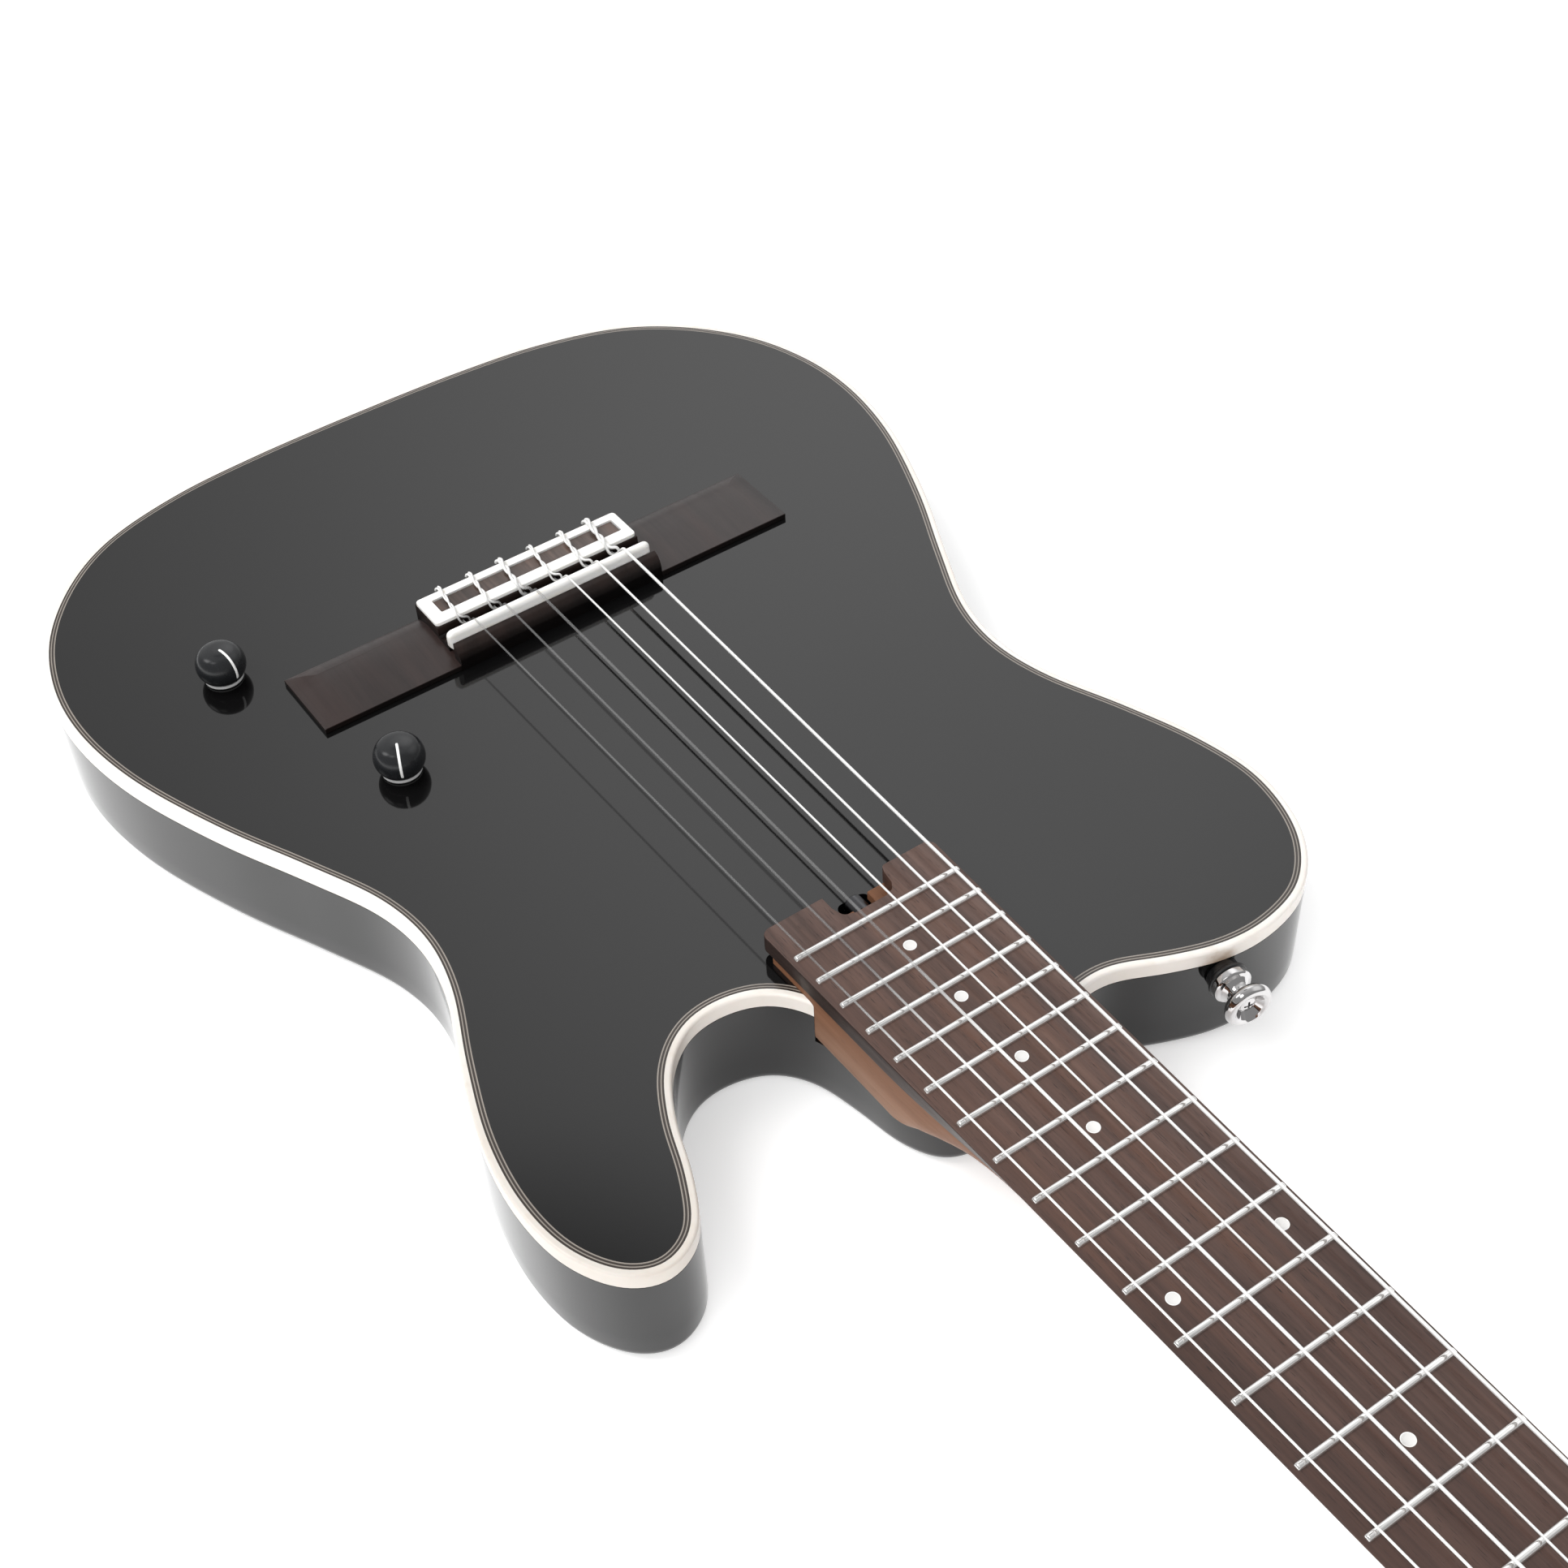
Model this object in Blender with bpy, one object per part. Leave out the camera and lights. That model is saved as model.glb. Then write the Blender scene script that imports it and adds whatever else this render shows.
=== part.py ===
"""Nylon-string electric-classical guitar with a thin single-cutaway chambered body.

Frame: +X runs along the strings towards the headstock, +Y towards the bass side,
+Z out of the top. z = 0 is the flat back; x = 0 is one scale length from the nut.
All dimensions below are millimetres; the scene is in metres.
"""

import math

import bmesh
import bpy
import numpy as np
from mathutils import Matrix, Vector

for old in list(bpy.data.objects):
    bpy.data.objects.remove(old, do_unlink=True)

MM = 0.001

# ---------------------------------------------------------------- main sizes
SCALE = 650.0          # nut to twelfth fret, twice
BODY_T = 42.0          # body thickness
CORE_TOP = 37.7        # top of the carved core, under the plate
PLATE_Z0 = 38.0        # underside of the top plate
BIND_Z0 = 36.3         # lower edge of the edge binding
BIND_W = 2.0
PURF_W = 2.0
GAP = 0.3              # clearance between glued or seated pieces
BOARD_TOP = 51.1       # fretboard playing surface
BOARD_T = 6.0
BOARD_END = 167.0
NECK_TOP = BOARD_TOP - BOARD_T - GAP
HEEL_END = 172.7
HEEL_Z = 25.3
FACE_TILT = math.radians(6.0)
HEAD_START = 656.0
HEAD_END = 828.0
FACE_Z = 47.3          # front face of the veneer where the headstock starts
VENEER_T = 2.0
HEAD_T = 14.5
SADDLE_X = -5.1
SADDLE_TOP = 55.2

# String data: treble to bass.
STRING_R = (0.36, 0.41, 0.52, 0.37, 0.45, 0.56)
SADDLE_Y = (-31.2, -18.9, -6.7, 5.7, 18.2, 29.2)
NUT_Y = (-19.4, -11.1, -2.9, 5.4, 13.6, 21.9)
POST_X = (695.0, 735.0, 775.0, 775.0, 735.0, 695.0)
POST_Y = 24.0

# Two controls on the lower treble side of the top.
VOLUME_AT = (31.4, -81.3)
TONE_AT = (-46.4, -108.4)


# ---------------------------------------------------------------- materials
def material(name, colour, metallic=0.0, roughness=0.5, coat=0.0, alpha=1.0):
    m = bpy.data.materials.new(name)
    m.use_nodes = True
    shader = m.node_tree.nodes["Principled BSDF"]
    shader.inputs["Base Color"].default_value = (*colour, 1.0)
    shader.inputs["Metallic"].default_value = metallic
    shader.inputs["Roughness"].default_value = roughness
    shader.inputs["Coat Weight"].default_value = coat
    m.diffuse_color = (*colour, alpha)
    m.metallic = metallic
    m.roughness = roughness
    return m


BLACK = ((0.012, 0.012, 0.013), 0.0, 0.12, 1.0)
CREAM = ((0.85, 0.80, 0.70), 0.0, 0.3, 0.5)
ROSEWOOD = ((0.09, 0.045, 0.03), 0.0, 0.45, 0.0)
MAHOGANY = ((0.30, 0.12, 0.055), 0.0, 0.35, 0.2)
CHROME = ((0.8, 0.8, 0.8), 1.0, 0.12, 0.0)
STEEL = ((0.6, 0.6, 0.6), 1.0, 0.35, 0.0)
BONE = ((0.88, 0.86, 0.80), 0.0, 0.35, 0.1)
PLASTIC = ((0.02, 0.02, 0.022), 0.0, 0.35, 0.0)
NYLON = ((0.75, 0.75, 0.74), 0.0, 0.2, 0.0)
SILVER = ((0.72, 0.72, 0.70), 1.0, 0.3, 0.0)
NICKEL = ((0.75, 0.74, 0.70), 1.0, 0.2, 0.0)


# ---------------------------------------------------------------- mesh helpers
def mesh_object(name, verts, faces, look=None, smooth=None):
    """One object from millimetre vertices, faces turned outward."""
    mesh = bpy.data.meshes.new(name)
    mesh.from_pydata([tuple(float(c) * MM for c in v) for v in verts], [], faces)
    work = bmesh.new()
    work.from_mesh(mesh)
    bmesh.ops.recalc_face_normals(work, faces=work.faces)
    work.to_mesh(mesh)
    work.free()
    obj = bpy.data.objects.new(name, mesh)
    bpy.context.scene.collection.objects.link(obj)
    if look:
        paint(obj, look, smooth)
    return obj


def paint(obj, look, smooth=None):
    obj.data.materials.clear()
    obj.data.materials.append(material(obj.name + "_look", *look))
    if smooth is not None:
        for polygon in obj.data.polygons:
            polygon.use_smooth = True
        obj.data.set_sharp_from_angle(angle=math.radians(smooth))


def loft(name, rings, look=None, smooth=None, closed=False):
    """Skin rings of equal length; the ends are capped unless the loop closes."""
    n = len(rings[0])
    verts = [v for ring in rings for v in ring]
    faces = []
    count = len(rings)
    for i in range(count if closed else count - 1):
        a, b = i * n, ((i + 1) % count) * n
        for j in range(n):
            k = (j + 1) % n
            faces.append((a + j, a + k, b + k, b + j))
    if not closed:
        faces.append(tuple(reversed(range(n))))
        faces.append(tuple((count - 1) * n + j for j in range(n)))
    return mesh_object(name, verts, faces, look, smooth)


def frame_at(origin, axis, side=(0.0, 0.0, 1.0)):
    """Columns u, v, w with w along axis, as a function from local to world mm."""
    w = Vector(axis).normalized()
    u = Vector(side) - w * w.dot(Vector(side))
    if u.length < 1e-6:
        u = Vector((1.0, 0.0, 0.0)) - w * w.x
    u.normalize()
    v = w.cross(u)
    o = Vector(origin)
    return lambda a, b, c: o + u * a + v * b + w * c


def lathe(name, profile, origin, axis, count=20, look=None, smooth=None, side=(0, 0, 1)):
    """Turned piece. Profile is (radius, height) from bottom to top along axis."""
    place = frame_at(origin, axis, side)
    verts, rings = [], []
    for r, h in profile:
        if r < 1e-6:
            rings.append([len(verts)])
            verts.append(place(0, 0, h))
        else:
            rings.append(list(range(len(verts), len(verts) + count)))
            for i in range(count):
                a = 2 * math.pi * i / count
                verts.append(place(r * math.cos(a), r * math.sin(a), h))
    faces = []
    for low, high in zip(rings, rings[1:]):
        for i in range(count):
            j = (i + 1) % count
            if len(low) == 1:
                faces.append((low[0], high[i], high[j]))
            elif len(high) == 1:
                faces.append((low[i], low[j], high[0]))
            else:
                faces.append((low[i], low[j], high[j], high[i]))
    if len(rings[0]) > 1:
        faces.append(tuple(reversed(rings[0])))
    if len(rings[-1]) > 1:
        faces.append(tuple(rings[-1]))
    return mesh_object(name, verts, faces, look, smooth)


def prism(name, points, z0, z1, look=None, smooth=None, slope=0.0, x_ref=0.0):
    """Vertical prism over a plan outline; slope lowers it along +X."""
    drop = [-(x - x_ref) * slope for x, _ in points]
    low = [(x, y, z0 + d) for (x, y), d in zip(points, drop)]
    high = [(x, y, z1 + d) for (x, y), d in zip(points, drop)]
    return loft(name, [low, high], look, smooth)


def pivot(obj, point):
    """Put a moving piece's origin on its axis without moving the piece."""
    shift = Vector(point) * MM
    obj.data.transform(Matrix.Translation(-shift))
    obj.location = shift


def bar(name, x0, x1, y0, y1, z0, z1, look=None):
    return prism(name, [(x0, y0), (x1, y0), (x1, y1), (x0, y1)], z0, z1, look)


def tube(name, path, radius, sides=6, look=None, smooth=None):
    """Round wire along a path, its section carried without twist."""
    pts = [Vector(p) for p in path]
    rings = []
    normal = None
    for i, p in enumerate(pts):
        ahead = pts[min(i + 1, len(pts) - 1)] - pts[max(i - 1, 0)]
        ahead.normalize()
        if normal is None:
            normal = ahead.orthogonal().normalized()
        else:
            normal = (normal - ahead * ahead.dot(normal)).normalized()
        other = ahead.cross(normal)
        rings.append([
            p + (normal * math.cos(2 * math.pi * k / sides)
                 + other * math.sin(2 * math.pi * k / sides)) * radius
            for k in range(sides)
        ])
    return loft(name, rings, look, smooth)


def combine(target, others, operation):
    """Boolean the others into target and drop them."""
    for other in others:
        mod = target.modifiers.new("shape", "BOOLEAN")
        mod.operation = operation
        mod.solver = "EXACT"
        mod.object = other
        bpy.context.view_layer.update()
        graph = bpy.context.evaluated_depsgraph_get()
        made = bpy.data.meshes.new_from_object(target.evaluated_get(graph))
        target.modifiers.clear()
        target.data = made
        bpy.data.objects.remove(other, do_unlink=True)
    tidy(target)
    return target


def tidy(obj):
    work = bmesh.new()
    work.from_mesh(obj.data)
    bmesh.ops.remove_doubles(work, verts=work.verts, dist=2e-6)
    bmesh.ops.dissolve_degenerate(work, edges=work.edges, dist=1e-6)
    work.to_mesh(obj.data)
    work.free()


def cut(target, *others):
    return combine(target, others, "DIFFERENCE")


def join(target, *others):
    return combine(target, others, "UNION")


def merge_islands(name, objs):
    """Several separate solids as one mesh, to serve as a single cutter."""
    verts, faces = [], []
    for obj in objs:
        base = len(verts)
        verts += [v.co / MM for v in obj.data.vertices]
        faces += [tuple(base + i for i in p.vertices) for p in obj.data.polygons]
        bpy.data.objects.remove(obj, do_unlink=True)
    return mesh_object(name, verts, faces)


def capsule(ax, ay, bx, by, r, n=8):
    """Plan outline of a slot with round ends."""
    turn = math.atan2(by - ay, bx - ax)
    out = []
    for cx, cy, start in ((bx, by, turn - math.pi / 2), (ax, ay, turn + math.pi / 2)):
        for i in range(n + 1):
            a = start + math.pi * i / n
            out.append((cx + r * math.cos(a), cy + r * math.sin(a)))
    return out


def round_rect(x0, x1, y0, y1, r, n=3):
    out = []
    for cx, cy, start in ((x1 - r, y0 + r, -90), (x1 - r, y1 - r, 0),
                          (x0 + r, y1 - r, 90), (x0 + r, y0 + r, 180)):
        for i in range(n + 1):
            a = math.radians(start + 90 * i / n)
            out.append((cx + r * math.cos(a), cy + r * math.sin(a)))
    return out


# ---------------------------------------------------------------- body outline
TREBLE = [  # tail, lower bout, waist, upper bout
    (-158.4, 0), (-157.4, -45), (-153.6, -80), (-143.5, -112), (-128, -133),
    (-104, -151), (-78, -160), (-52, -162), (-20, -157), (20, -142.7),
    (52, -127.7), (80, -115.7), (101, -112.6), (122, -115.9), (150, -126.6),
    (178, -135.5),
]
HORN = [
    (203, -138.4), (224, -135.3), (239, -126), (243.8, -115), (238.5, -102.5),
    (222, -93.2), (203, -86.5), (187, -77.3), (178.3, -66), (176.6, -54),
    (181, -40.6), (191.5, -32.2),
]
SHOULDER = [  # under the neck, then round the bass shoulder
    (208, -27.8), (226, -24.3), (238, -16.8), (241.6, -3), (239.5, 17),
    (235.2, 36), (235.6, 46), (243, 62), (249.2, 79.5), (250.2, 96),
    (244.8, 115), (229, 130.3), (203, 138.2),
]


def outline(per=2):
    ctrl = TREBLE + HORN + SHOULDER + [(x, -y) for x, y in reversed(TREBLE[1:])]
    n = len(ctrl)
    out = []
    for i in range(n):
        p0, p1, p2, p3 = (np.array(ctrl[(i + k) % n], float) for k in (-1, 0, 1, 2))
        d1 = max(np.linalg.norm(p1 - p0), 1e-6) ** 0.5
        d2 = max(np.linalg.norm(p2 - p1), 1e-6) ** 0.5
        d3 = max(np.linalg.norm(p3 - p2), 1e-6) ** 0.5
        m1 = ((p1 - p0) / d1 - (p2 - p0) / (d1 + d2) + (p2 - p1) / d2) * d2
        m2 = ((p2 - p1) / d2 - (p3 - p1) / (d2 + d3) + (p3 - p2) / d3) * d2
        for k in range(per):
            t = k / per
            h = (2 * t**3 - 3 * t**2 + 1, t**3 - 2 * t**2 + t,
                 -2 * t**3 + 3 * t**2, t**3 - t**2)
            out.append(p1 * h[0] + m1 * h[1] + p2 * h[2] + m2 * h[3])
    return np.array(out)


EDGE = outline()


def inset(d, pts=None):
    """The outline moved inwards by d, mitred at each point."""
    p = EDGE if pts is None else pts
    before = p - np.roll(p, 1, axis=0)
    after = np.roll(p, -1, axis=0) - p
    nb = np.c_[-before[:, 1], before[:, 0]] / np.linalg.norm(before, axis=1)[:, None]
    na = np.c_[-after[:, 1], after[:, 0]] / np.linalg.norm(after, axis=1)[:, None]
    mid = nb + na
    mid /= np.linalg.norm(mid, axis=1)[:, None]
    stretch = 1.0 / np.maximum((mid * nb).sum(axis=1), 0.5)
    return p + mid * (d * stretch)[:, None]


def level(d, z):
    return [(x, y, z) for x, y in inset(d)]


# ---------------------------------------------------------------- neck widths
def board_half(x):
    """Half width of the fretboard, 24.5 at the nut."""
    return 24.5 + (SCALE - x) * 0.0164


def ease(x, a, b):
    t = min(1.0, max(0.0, (x - a) / (b - a)))
    return t * t * (3 - 2 * t)


def lean(x):
    """How much the neck is slimmed at x: 0 over the body and at the nut, 1 between."""
    return ease(x, 225.0, 290.0) * (1 - ease(x, 560.0, 630.0))


LEAN_IN = 3.4          # the board's sides come in this far at its underside


def bass_in(x):
    """The board's bass edge sits a little closer to the frets' ends than its treble edge."""
    return 0.9 * (1 - ease(x, 560.0, 640.0))


def fret_x(n):
    return SCALE * 2 ** (-n / 12)


def face_z(x):
    return FACE_Z - (x - HEAD_START) * math.tan(FACE_TILT)


NORMAL = Vector((math.sin(FACE_TILT), 0.0, math.cos(FACE_TILT)))
DOWN_FACE = Vector((math.cos(FACE_TILT), 0.0, -math.sin(FACE_TILT)))


# ================================================================ body core
BR = 5.0  # rounding of the back edge
core = loft("body_core", [
    level(BR, 0.0), level(BR * 0.36, BR * 0.2), level(0.0, BR),
    level(0.0, BIND_Z0 - GAP), level(BIND_W + GAP, BIND_Z0 - GAP),
    level(BIND_W + GAP, CORE_TOP),
])

# The pocket takes the heel with a third of a millimetre all round.
pocket_plan = [
    (x, side * (board_half(x) - 0.25 - (bass_in(x) if side > 0 else 0.0)))
    for x, side in ((HEEL_END - 0.4, -1), (262.0, -1), (262.0, 1), (HEEL_END - 0.4, 1))
]


def pocket_cutter(z0):
    return prism("pocket", pocket_plan, z0, 60.0)


CONTROL = (-50.0, -106.0, 36.0, -80.0)
RECESS = (165.9, 184.0, -4.4, 6.9)      # round the truss-rod nut
cutters = [
    pocket_cutter(HEEL_Z - GAP),
    # control cavity, open at the back, with a ledge for its cover
    prism("c1", capsule(*CONTROL, 25.0), -1.0, 33.0),
    prism("c2", capsule(*CONTROL, 29.0), -1.0, 2.6),
    # battery bay, open at the back
    prism("c3", round_rect(-112.3, -51.7, 37.7, 74.3, 3.0, 2), -1.0, 24.6),
    prism("c4", round_rect(-115.3, -48.7, 35.0, 77.0, 3.0, 2), -1.0, 1.9),
    # sound chambers under the top plate
    prism("c5", capsule(2.0, 99.0, 62.0, 82.0, 22.0), 9.0, 50.0),
    prism("c6", capsule(185.0, 84.0, 203.0, 100.0, 24.0), 9.0, 50.0),
    # recess that reaches the truss-rod nut
    prism("c7", round_rect(*RECESS, 2.4, 3), 35.0, 50.0),
    # neck plate seat
    prism("c8", round_rect(181.7, 232.3, -19.3, 29.3, 4.0, 2), -1.0, 2.4),
]
for kx, ky in (VOLUME_AT, TONE_AT):
    cutters.append(lathe("c9", [(4.8, 20), (4.8, 50)], (kx, ky, 0), (0, 0, 1), 14))
BOLTS = [(188.5, -12.0), (188.5, 22.0), (225.5, -12.0), (225.5, 22.0)]
for bx, by in BOLTS:
    cutters.append(lathe("c10", [(2.6, -1), (2.6, 30)], (bx, by, 0), (0, 0, 1), 10))

JACK_P, JACK_N = np.array((-157.4, -45.0)), np.array((-1.0, 0.0))
STRAP_P = np.array((248.8, 78.6))
STRAP_N = np.array((0.9851, -0.1719))
STRAP_Z = 31.0
TAIL_P, TAIL_N = np.array((-158.4, 0.0)), np.array((-1.0, 0.0))
TAIL_Z = 20.0
JACK_Z = 19.0


def rim_axis(p, n, z):
    return (p[0], p[1], z), (n[0], n[1], 0.0)


o, a = rim_axis(JACK_P, JACK_N, JACK_Z)
cutters.append(lathe("c11", [(7.0, -60), (7.0, 6)], o, a, 16))
for p, n, z in ((STRAP_P, STRAP_N, STRAP_Z), (TAIL_P, TAIL_N, TAIL_Z)):
    o, a = rim_axis(p, n, z)
    cutters.append(lathe("c12", [(2.0, -21), (2.0, 6)], o, a, 10))
cut(core, *cutters)
paint(core, BLACK, 35)

# ================================================================ top plate
plate = loft("body_top", [
    level(BIND_W + PURF_W + 2 * GAP, PLATE_Z0), level(BIND_W + PURF_W + 2 * GAP, BODY_T),
])
cutters = [pocket_cutter(30.0),
           prism("c7", round_rect(*RECESS, 2.4, 3), 30.0, 50.0)]
for kx, ky in (VOLUME_AT, TONE_AT):
    cutters.append(lathe("c9", [(4.8, 20), (4.8, 50)], (kx, ky, 0), (0, 0, 1), 14))
cut(plate, *cutters)
paint(plate, BLACK, 35)

# ================================================================ edge binding
ring = []
for a_in, z in ((0.0, BIND_Z0), (0.0, BODY_T - 1.0), (0.8, BODY_T),
                (BIND_W, BODY_T), (BIND_W, BIND_Z0)):
    ring.append(level(a_in, z))
binding = loft("body_binding", ring, closed=True)
cut(binding, pocket_cutter(25.0))
paint(binding, CREAM, 40)

# ================================================================ purfling
ring = [level(BIND_W + GAP, PLATE_Z0), level(BIND_W + GAP, BODY_T),
        level(BIND_W + GAP + PURF_W, BODY_T), level(BIND_W + GAP + PURF_W, PLATE_Z0)]
purfling = loft("purfling", ring, closed=True)
cut(purfling, pocket_cutter(25.0))
paint(purfling, ((0.25, 0.23, 0.2), 0.0, 0.3, 0.3), 40)

# ================================================================ bridge
ZT = BODY_T + GAP


def wing(side):
    """One low wing of the bridge, its end bevelled down on a diagonal."""
    full = [(-30.0, ZT), (0.8, ZT), (0.8, 44.5), (-3.5, 45.6), (-9.0, 46.3),
            (-17.0, 46.3), (-24.0, 45.3), (-30.0, 43.9)]
    low = [(-30.0, ZT), (0.8, ZT), (0.8, 44.1), (-3.5, 44.2), (-9.0, 44.1),
           (-17.0, 43.9), (-24.0, 43.7), (-30.0, 43.4)]
    rings = [[(x, side * 38.0, z) for x, z in full]]
    rings.append([(x, side * (88.5 + min(0.0, x + 3.5) * 0.22), z) for x, z in full])
    rings.append([(x, side * 93.5, z) for x, z in low])
    return loft("wing", rings)


BLOCK = [
    (-30.4, ZT), (1.1, ZT), (1.1, 44.1), (0.8, 46.2), (-0.1, 48.7), (-1.5, 50.6),
    (-3.1, 51.4),                                     # rounded front of the block
    (-3.1, 44.4), (-7.1, 44.4), (-7.1, 48.6),         # saddle slot
    (-9.5, 48.4), (-13.0, 46.6), (-14.2, 46.9),       # ramp down to the string holes
    (-14.6, 50.3), (-19.9, 50.3), (-19.9, 51.2),      # front rail of the inlay seat
    (-26.5, 51.2), (-26.5, 50.3), (-30.4, 50.3),
]
BLOCK_Y = (-41.5, 39.9)
bridge = loft("bridge", [[(x, y, z) for x, z in BLOCK] for y in BLOCK_Y])
join(bridge, wing(-1), wing(1))
# The raised strip between the rails stops short of the inlay's end bars.
seat = [bar("seat", -30.9, -14.0, y0, y1, 50.3, 52.0)
        for y0, y1 in ((-42.5, -36.3), (36.3, 41.0))]
bores = [lathe("bore", [(1.15, -33), (1.15, -12.0)], (0, y, 47.9), (1, 0, 0), 10)
         for y in SADDLE_Y]
cut(bridge, merge_islands("cutter", seat + bores))
paint(bridge, ROSEWOOD, 30)

# White frame let into the tie block.
inlay = bar("tie_block_inlay", -30.2, -14.9, -41.3, 39.7, 50.6, 51.8)
cut(inlay, bar("hole", -26.8, -19.6, -36.6, 36.6, 50.0, 53.0))
paint(inlay, BONE)

# Saddle with a rounded crown, over a thin pickup strip.
profile = [(-6.7, 46.5), (-3.5, 46.5), (-3.5, 54.2), (-4.2, 55.0), (-5.1, 55.2),
           (-6.0, 55.0), (-6.7, 54.2)]
saddle = loft("saddle", [
    [(SADDLE_X + (x - SADDLE_X) * 0.55, -42.3, 46.5 + (z - 46.5) * 0.93) for x, z in profile],
    [(x, -41.4, z) for x, z in profile],
    [(x, 37.9, z) for x, z in profile],
    [(SADDLE_X + (x - SADDLE_X) * 0.55, 38.8, 46.5 + (z - 46.5) * 0.93) for x, z in profile],
])
paint(saddle, BONE, 40)
bar("piezo_pickup", -6.4, -3.8, -37.6, 36.2, 44.7, 46.2, SILVER)

# ================================================================ neck
FLAT_N = 12


def neck_section(x, half, top, bottom, square, slim=0.0, shift=0.0):
    """Closed section across the neck: flat top, back between a box, a C and a soft V."""
    depth = top - bottom
    out = []
    for i in range(FLAT_N + 1):
        t = i / FLAT_N
        a = math.pi * t
        ex = half * math.copysign(abs(math.cos(a)) ** (1 + 0.33 * slim), math.cos(a))
        shoulder = min(2.4, depth * 0.3) * (1 - slim)
        ez = top - shoulder - (depth - shoulder) * (math.sin(a) ** (0.9 + 0.43 * slim) if 0 < t < 1 else 0.0)
        # Box path with small lower corners.
        leg = FLAT_N // 4
        if i <= leg:
            bx, bz = half, top - (depth - 1.5) * i / leg
        elif i >= FLAT_N - leg:
            bx, bz = -half, top - (depth - 1.5) * (FLAT_N - i) / leg
        else:
            s = (i - leg) / (FLAT_N - 2 * leg)
            bx, bz = half * (1 - 2 * s) * (1 - 1.2 / half), bottom
        out.append((x, ex + (bx - ex) * square, ez + (bz - ez) * square))
    out.append((x, -half, top))
    out.append((x, half, top))
    # Drop the doubled corner where the box path already starts on the top.
    if square > 0.999:
        out[0] = (x, half, top - 1.0)
        out[FLAT_N] = (x, -half, top - 1.0)
    if slim > 0.5:
        out[0] = (x, half * 0.985, top - 0.25)
        out[FLAT_N] = (x, -half * 0.985, top - 0.25)
    return [(px, py + shift, pz) for px, py, pz in out]


stations = []
for x, bottom, square in (
    (HEEL_END, HEEL_Z, 1.0), (200.0, HEEL_Z, 1.0), (228.4, HEEL_Z, 1.0),
    (233.5, 26.2, 0.9), (241.0, 28.0, 0.62), (250.0, 29.1, 0.3), (260.0, 29.4, 0.1),
    (272.0, 29.3, 0.0), (290.0, 29.2, 0.0), (325.0, 29.2, 0.0), (420.0, 29.7, 0.0),
    (520.0, 30.2, 0.0), (560.0, 30.4, 0.0), (582.0, 30.6, 0.0), (606.0, 30.8, 0.0),
    (632.0, 30.6, 0.0), (645.0, 29.8, 0.15),
):
    half = board_half(x) - 0.6 - LEAN_IN * lean(x) - bass_in(x) / 2
    stations.append(neck_section(x, half, NECK_TOP, bottom, square, lean(x), -bass_in(x) / 2))
# Nut seat, volute and headstock: half width, extra drop of the underside.
for x, half, square in (
    (651.0, 24.2, 0.3), (656.2, 24.6, 0.55), (661.0, 26.2, 0.8), (668.0, 30.5, 1.0),
    (676.0, 36.2, 1.0), (684.0, 39.4, 1.0), (696.0, 40.6, 1.0), (740.0, 39.2, 1.0),
    (784.0, 37.6, 1.0), (800.0, 36.2, 1.0), (812.0, 32.5, 1.0), (820.0, 26.0, 1.0),
    (825.5, 15.0, 1.0), (HEAD_END, 5.0, 1.0),
):
    if x < 656.5:
        top = NECK_TOP
    else:
        top = min(NECK_TOP, face_z(x) - VENEER_T - GAP)
    under = face_z(max(x, HEAD_START)) - VENEER_T - GAP - HEAD_T
    if x < 660:
        under = 29.0 + (x - 651) * 0.12
    stations.append(neck_section(x, half, top, min(under, 30.2), square))
neck = loft("neck", stations)

# A short tongue of the neck lies on the top beside the truss-rod nut.
join(neck, bar("tongue", 168.7, 174.0, 5.7, 13.0, BODY_T + GAP, NECK_TOP))

TRUSS_Y, TRUSS_Z = 1.6, 41.4
cutters = [
    # truss-rod channel under the board, opening at the heel end
    bar("t1", 183.0, 632.0, TRUSS_Y - 3.0, TRUSS_Y + 3.0, 37.0, 50.0),
    prism("t2", capsule(160.0, TRUSS_Y, 182.5, TRUSS_Y, 3.9, 6), 35.2, 50.0),
]
for bx, by in BOLTS:
    cutters.append(lathe("c10", [(2.2, 20), (2.2, 36.0)], (bx, by, 0), (0, 0, 1), 10))
for px, sy in ((px, sy) for px in (695.0, 735.0, 775.0) for sy in (-1, 1)):
    at = Vector((px, sy * POST_Y, face_z(px)))
    cutters.append(lathe("post", [(3.5, -40), (3.5, 20)], at, NORMAL, 10))
cut(neck, *cutters)
paint(neck, MAHOGANY, 40)

# Veneer on the headstock face.
VENEER_HALF = [(657.0, 24.6), (661.0, 26.2), (668.0, 30.5), (676.0, 36.2), (684.0, 39.4),
               (696.0, 40.6), (740.0, 39.2), (784.0, 37.6), (800.0, 36.2), (812.0, 32.5),
               (820.0, 26.0), (825.5, 15.0), (HEAD_END, 5.0)]
plan = [(x, -h) for x, h in VENEER_HALF] + [(x, h) for x, h in reversed(VENEER_HALF)]
veneer = prism("headstock_veneer", plan, FACE_Z - VENEER_T, FACE_Z,
               slope=math.tan(FACE_TILT), x_ref=HEAD_START)
posts = []
for px, sy in ((px, sy) for px in (695.0, 735.0, 775.0) for sy in (-1, 1)):
    at = Vector((px, sy * POST_Y, face_z(px)))
    posts.append(lathe("post", [(3.5, -10), (3.5, 20)], at, NORMAL, 10))
cut(veneer, merge_islands("cutter", posts))
paint(veneer, ROSEWOOD, 35)

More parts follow.
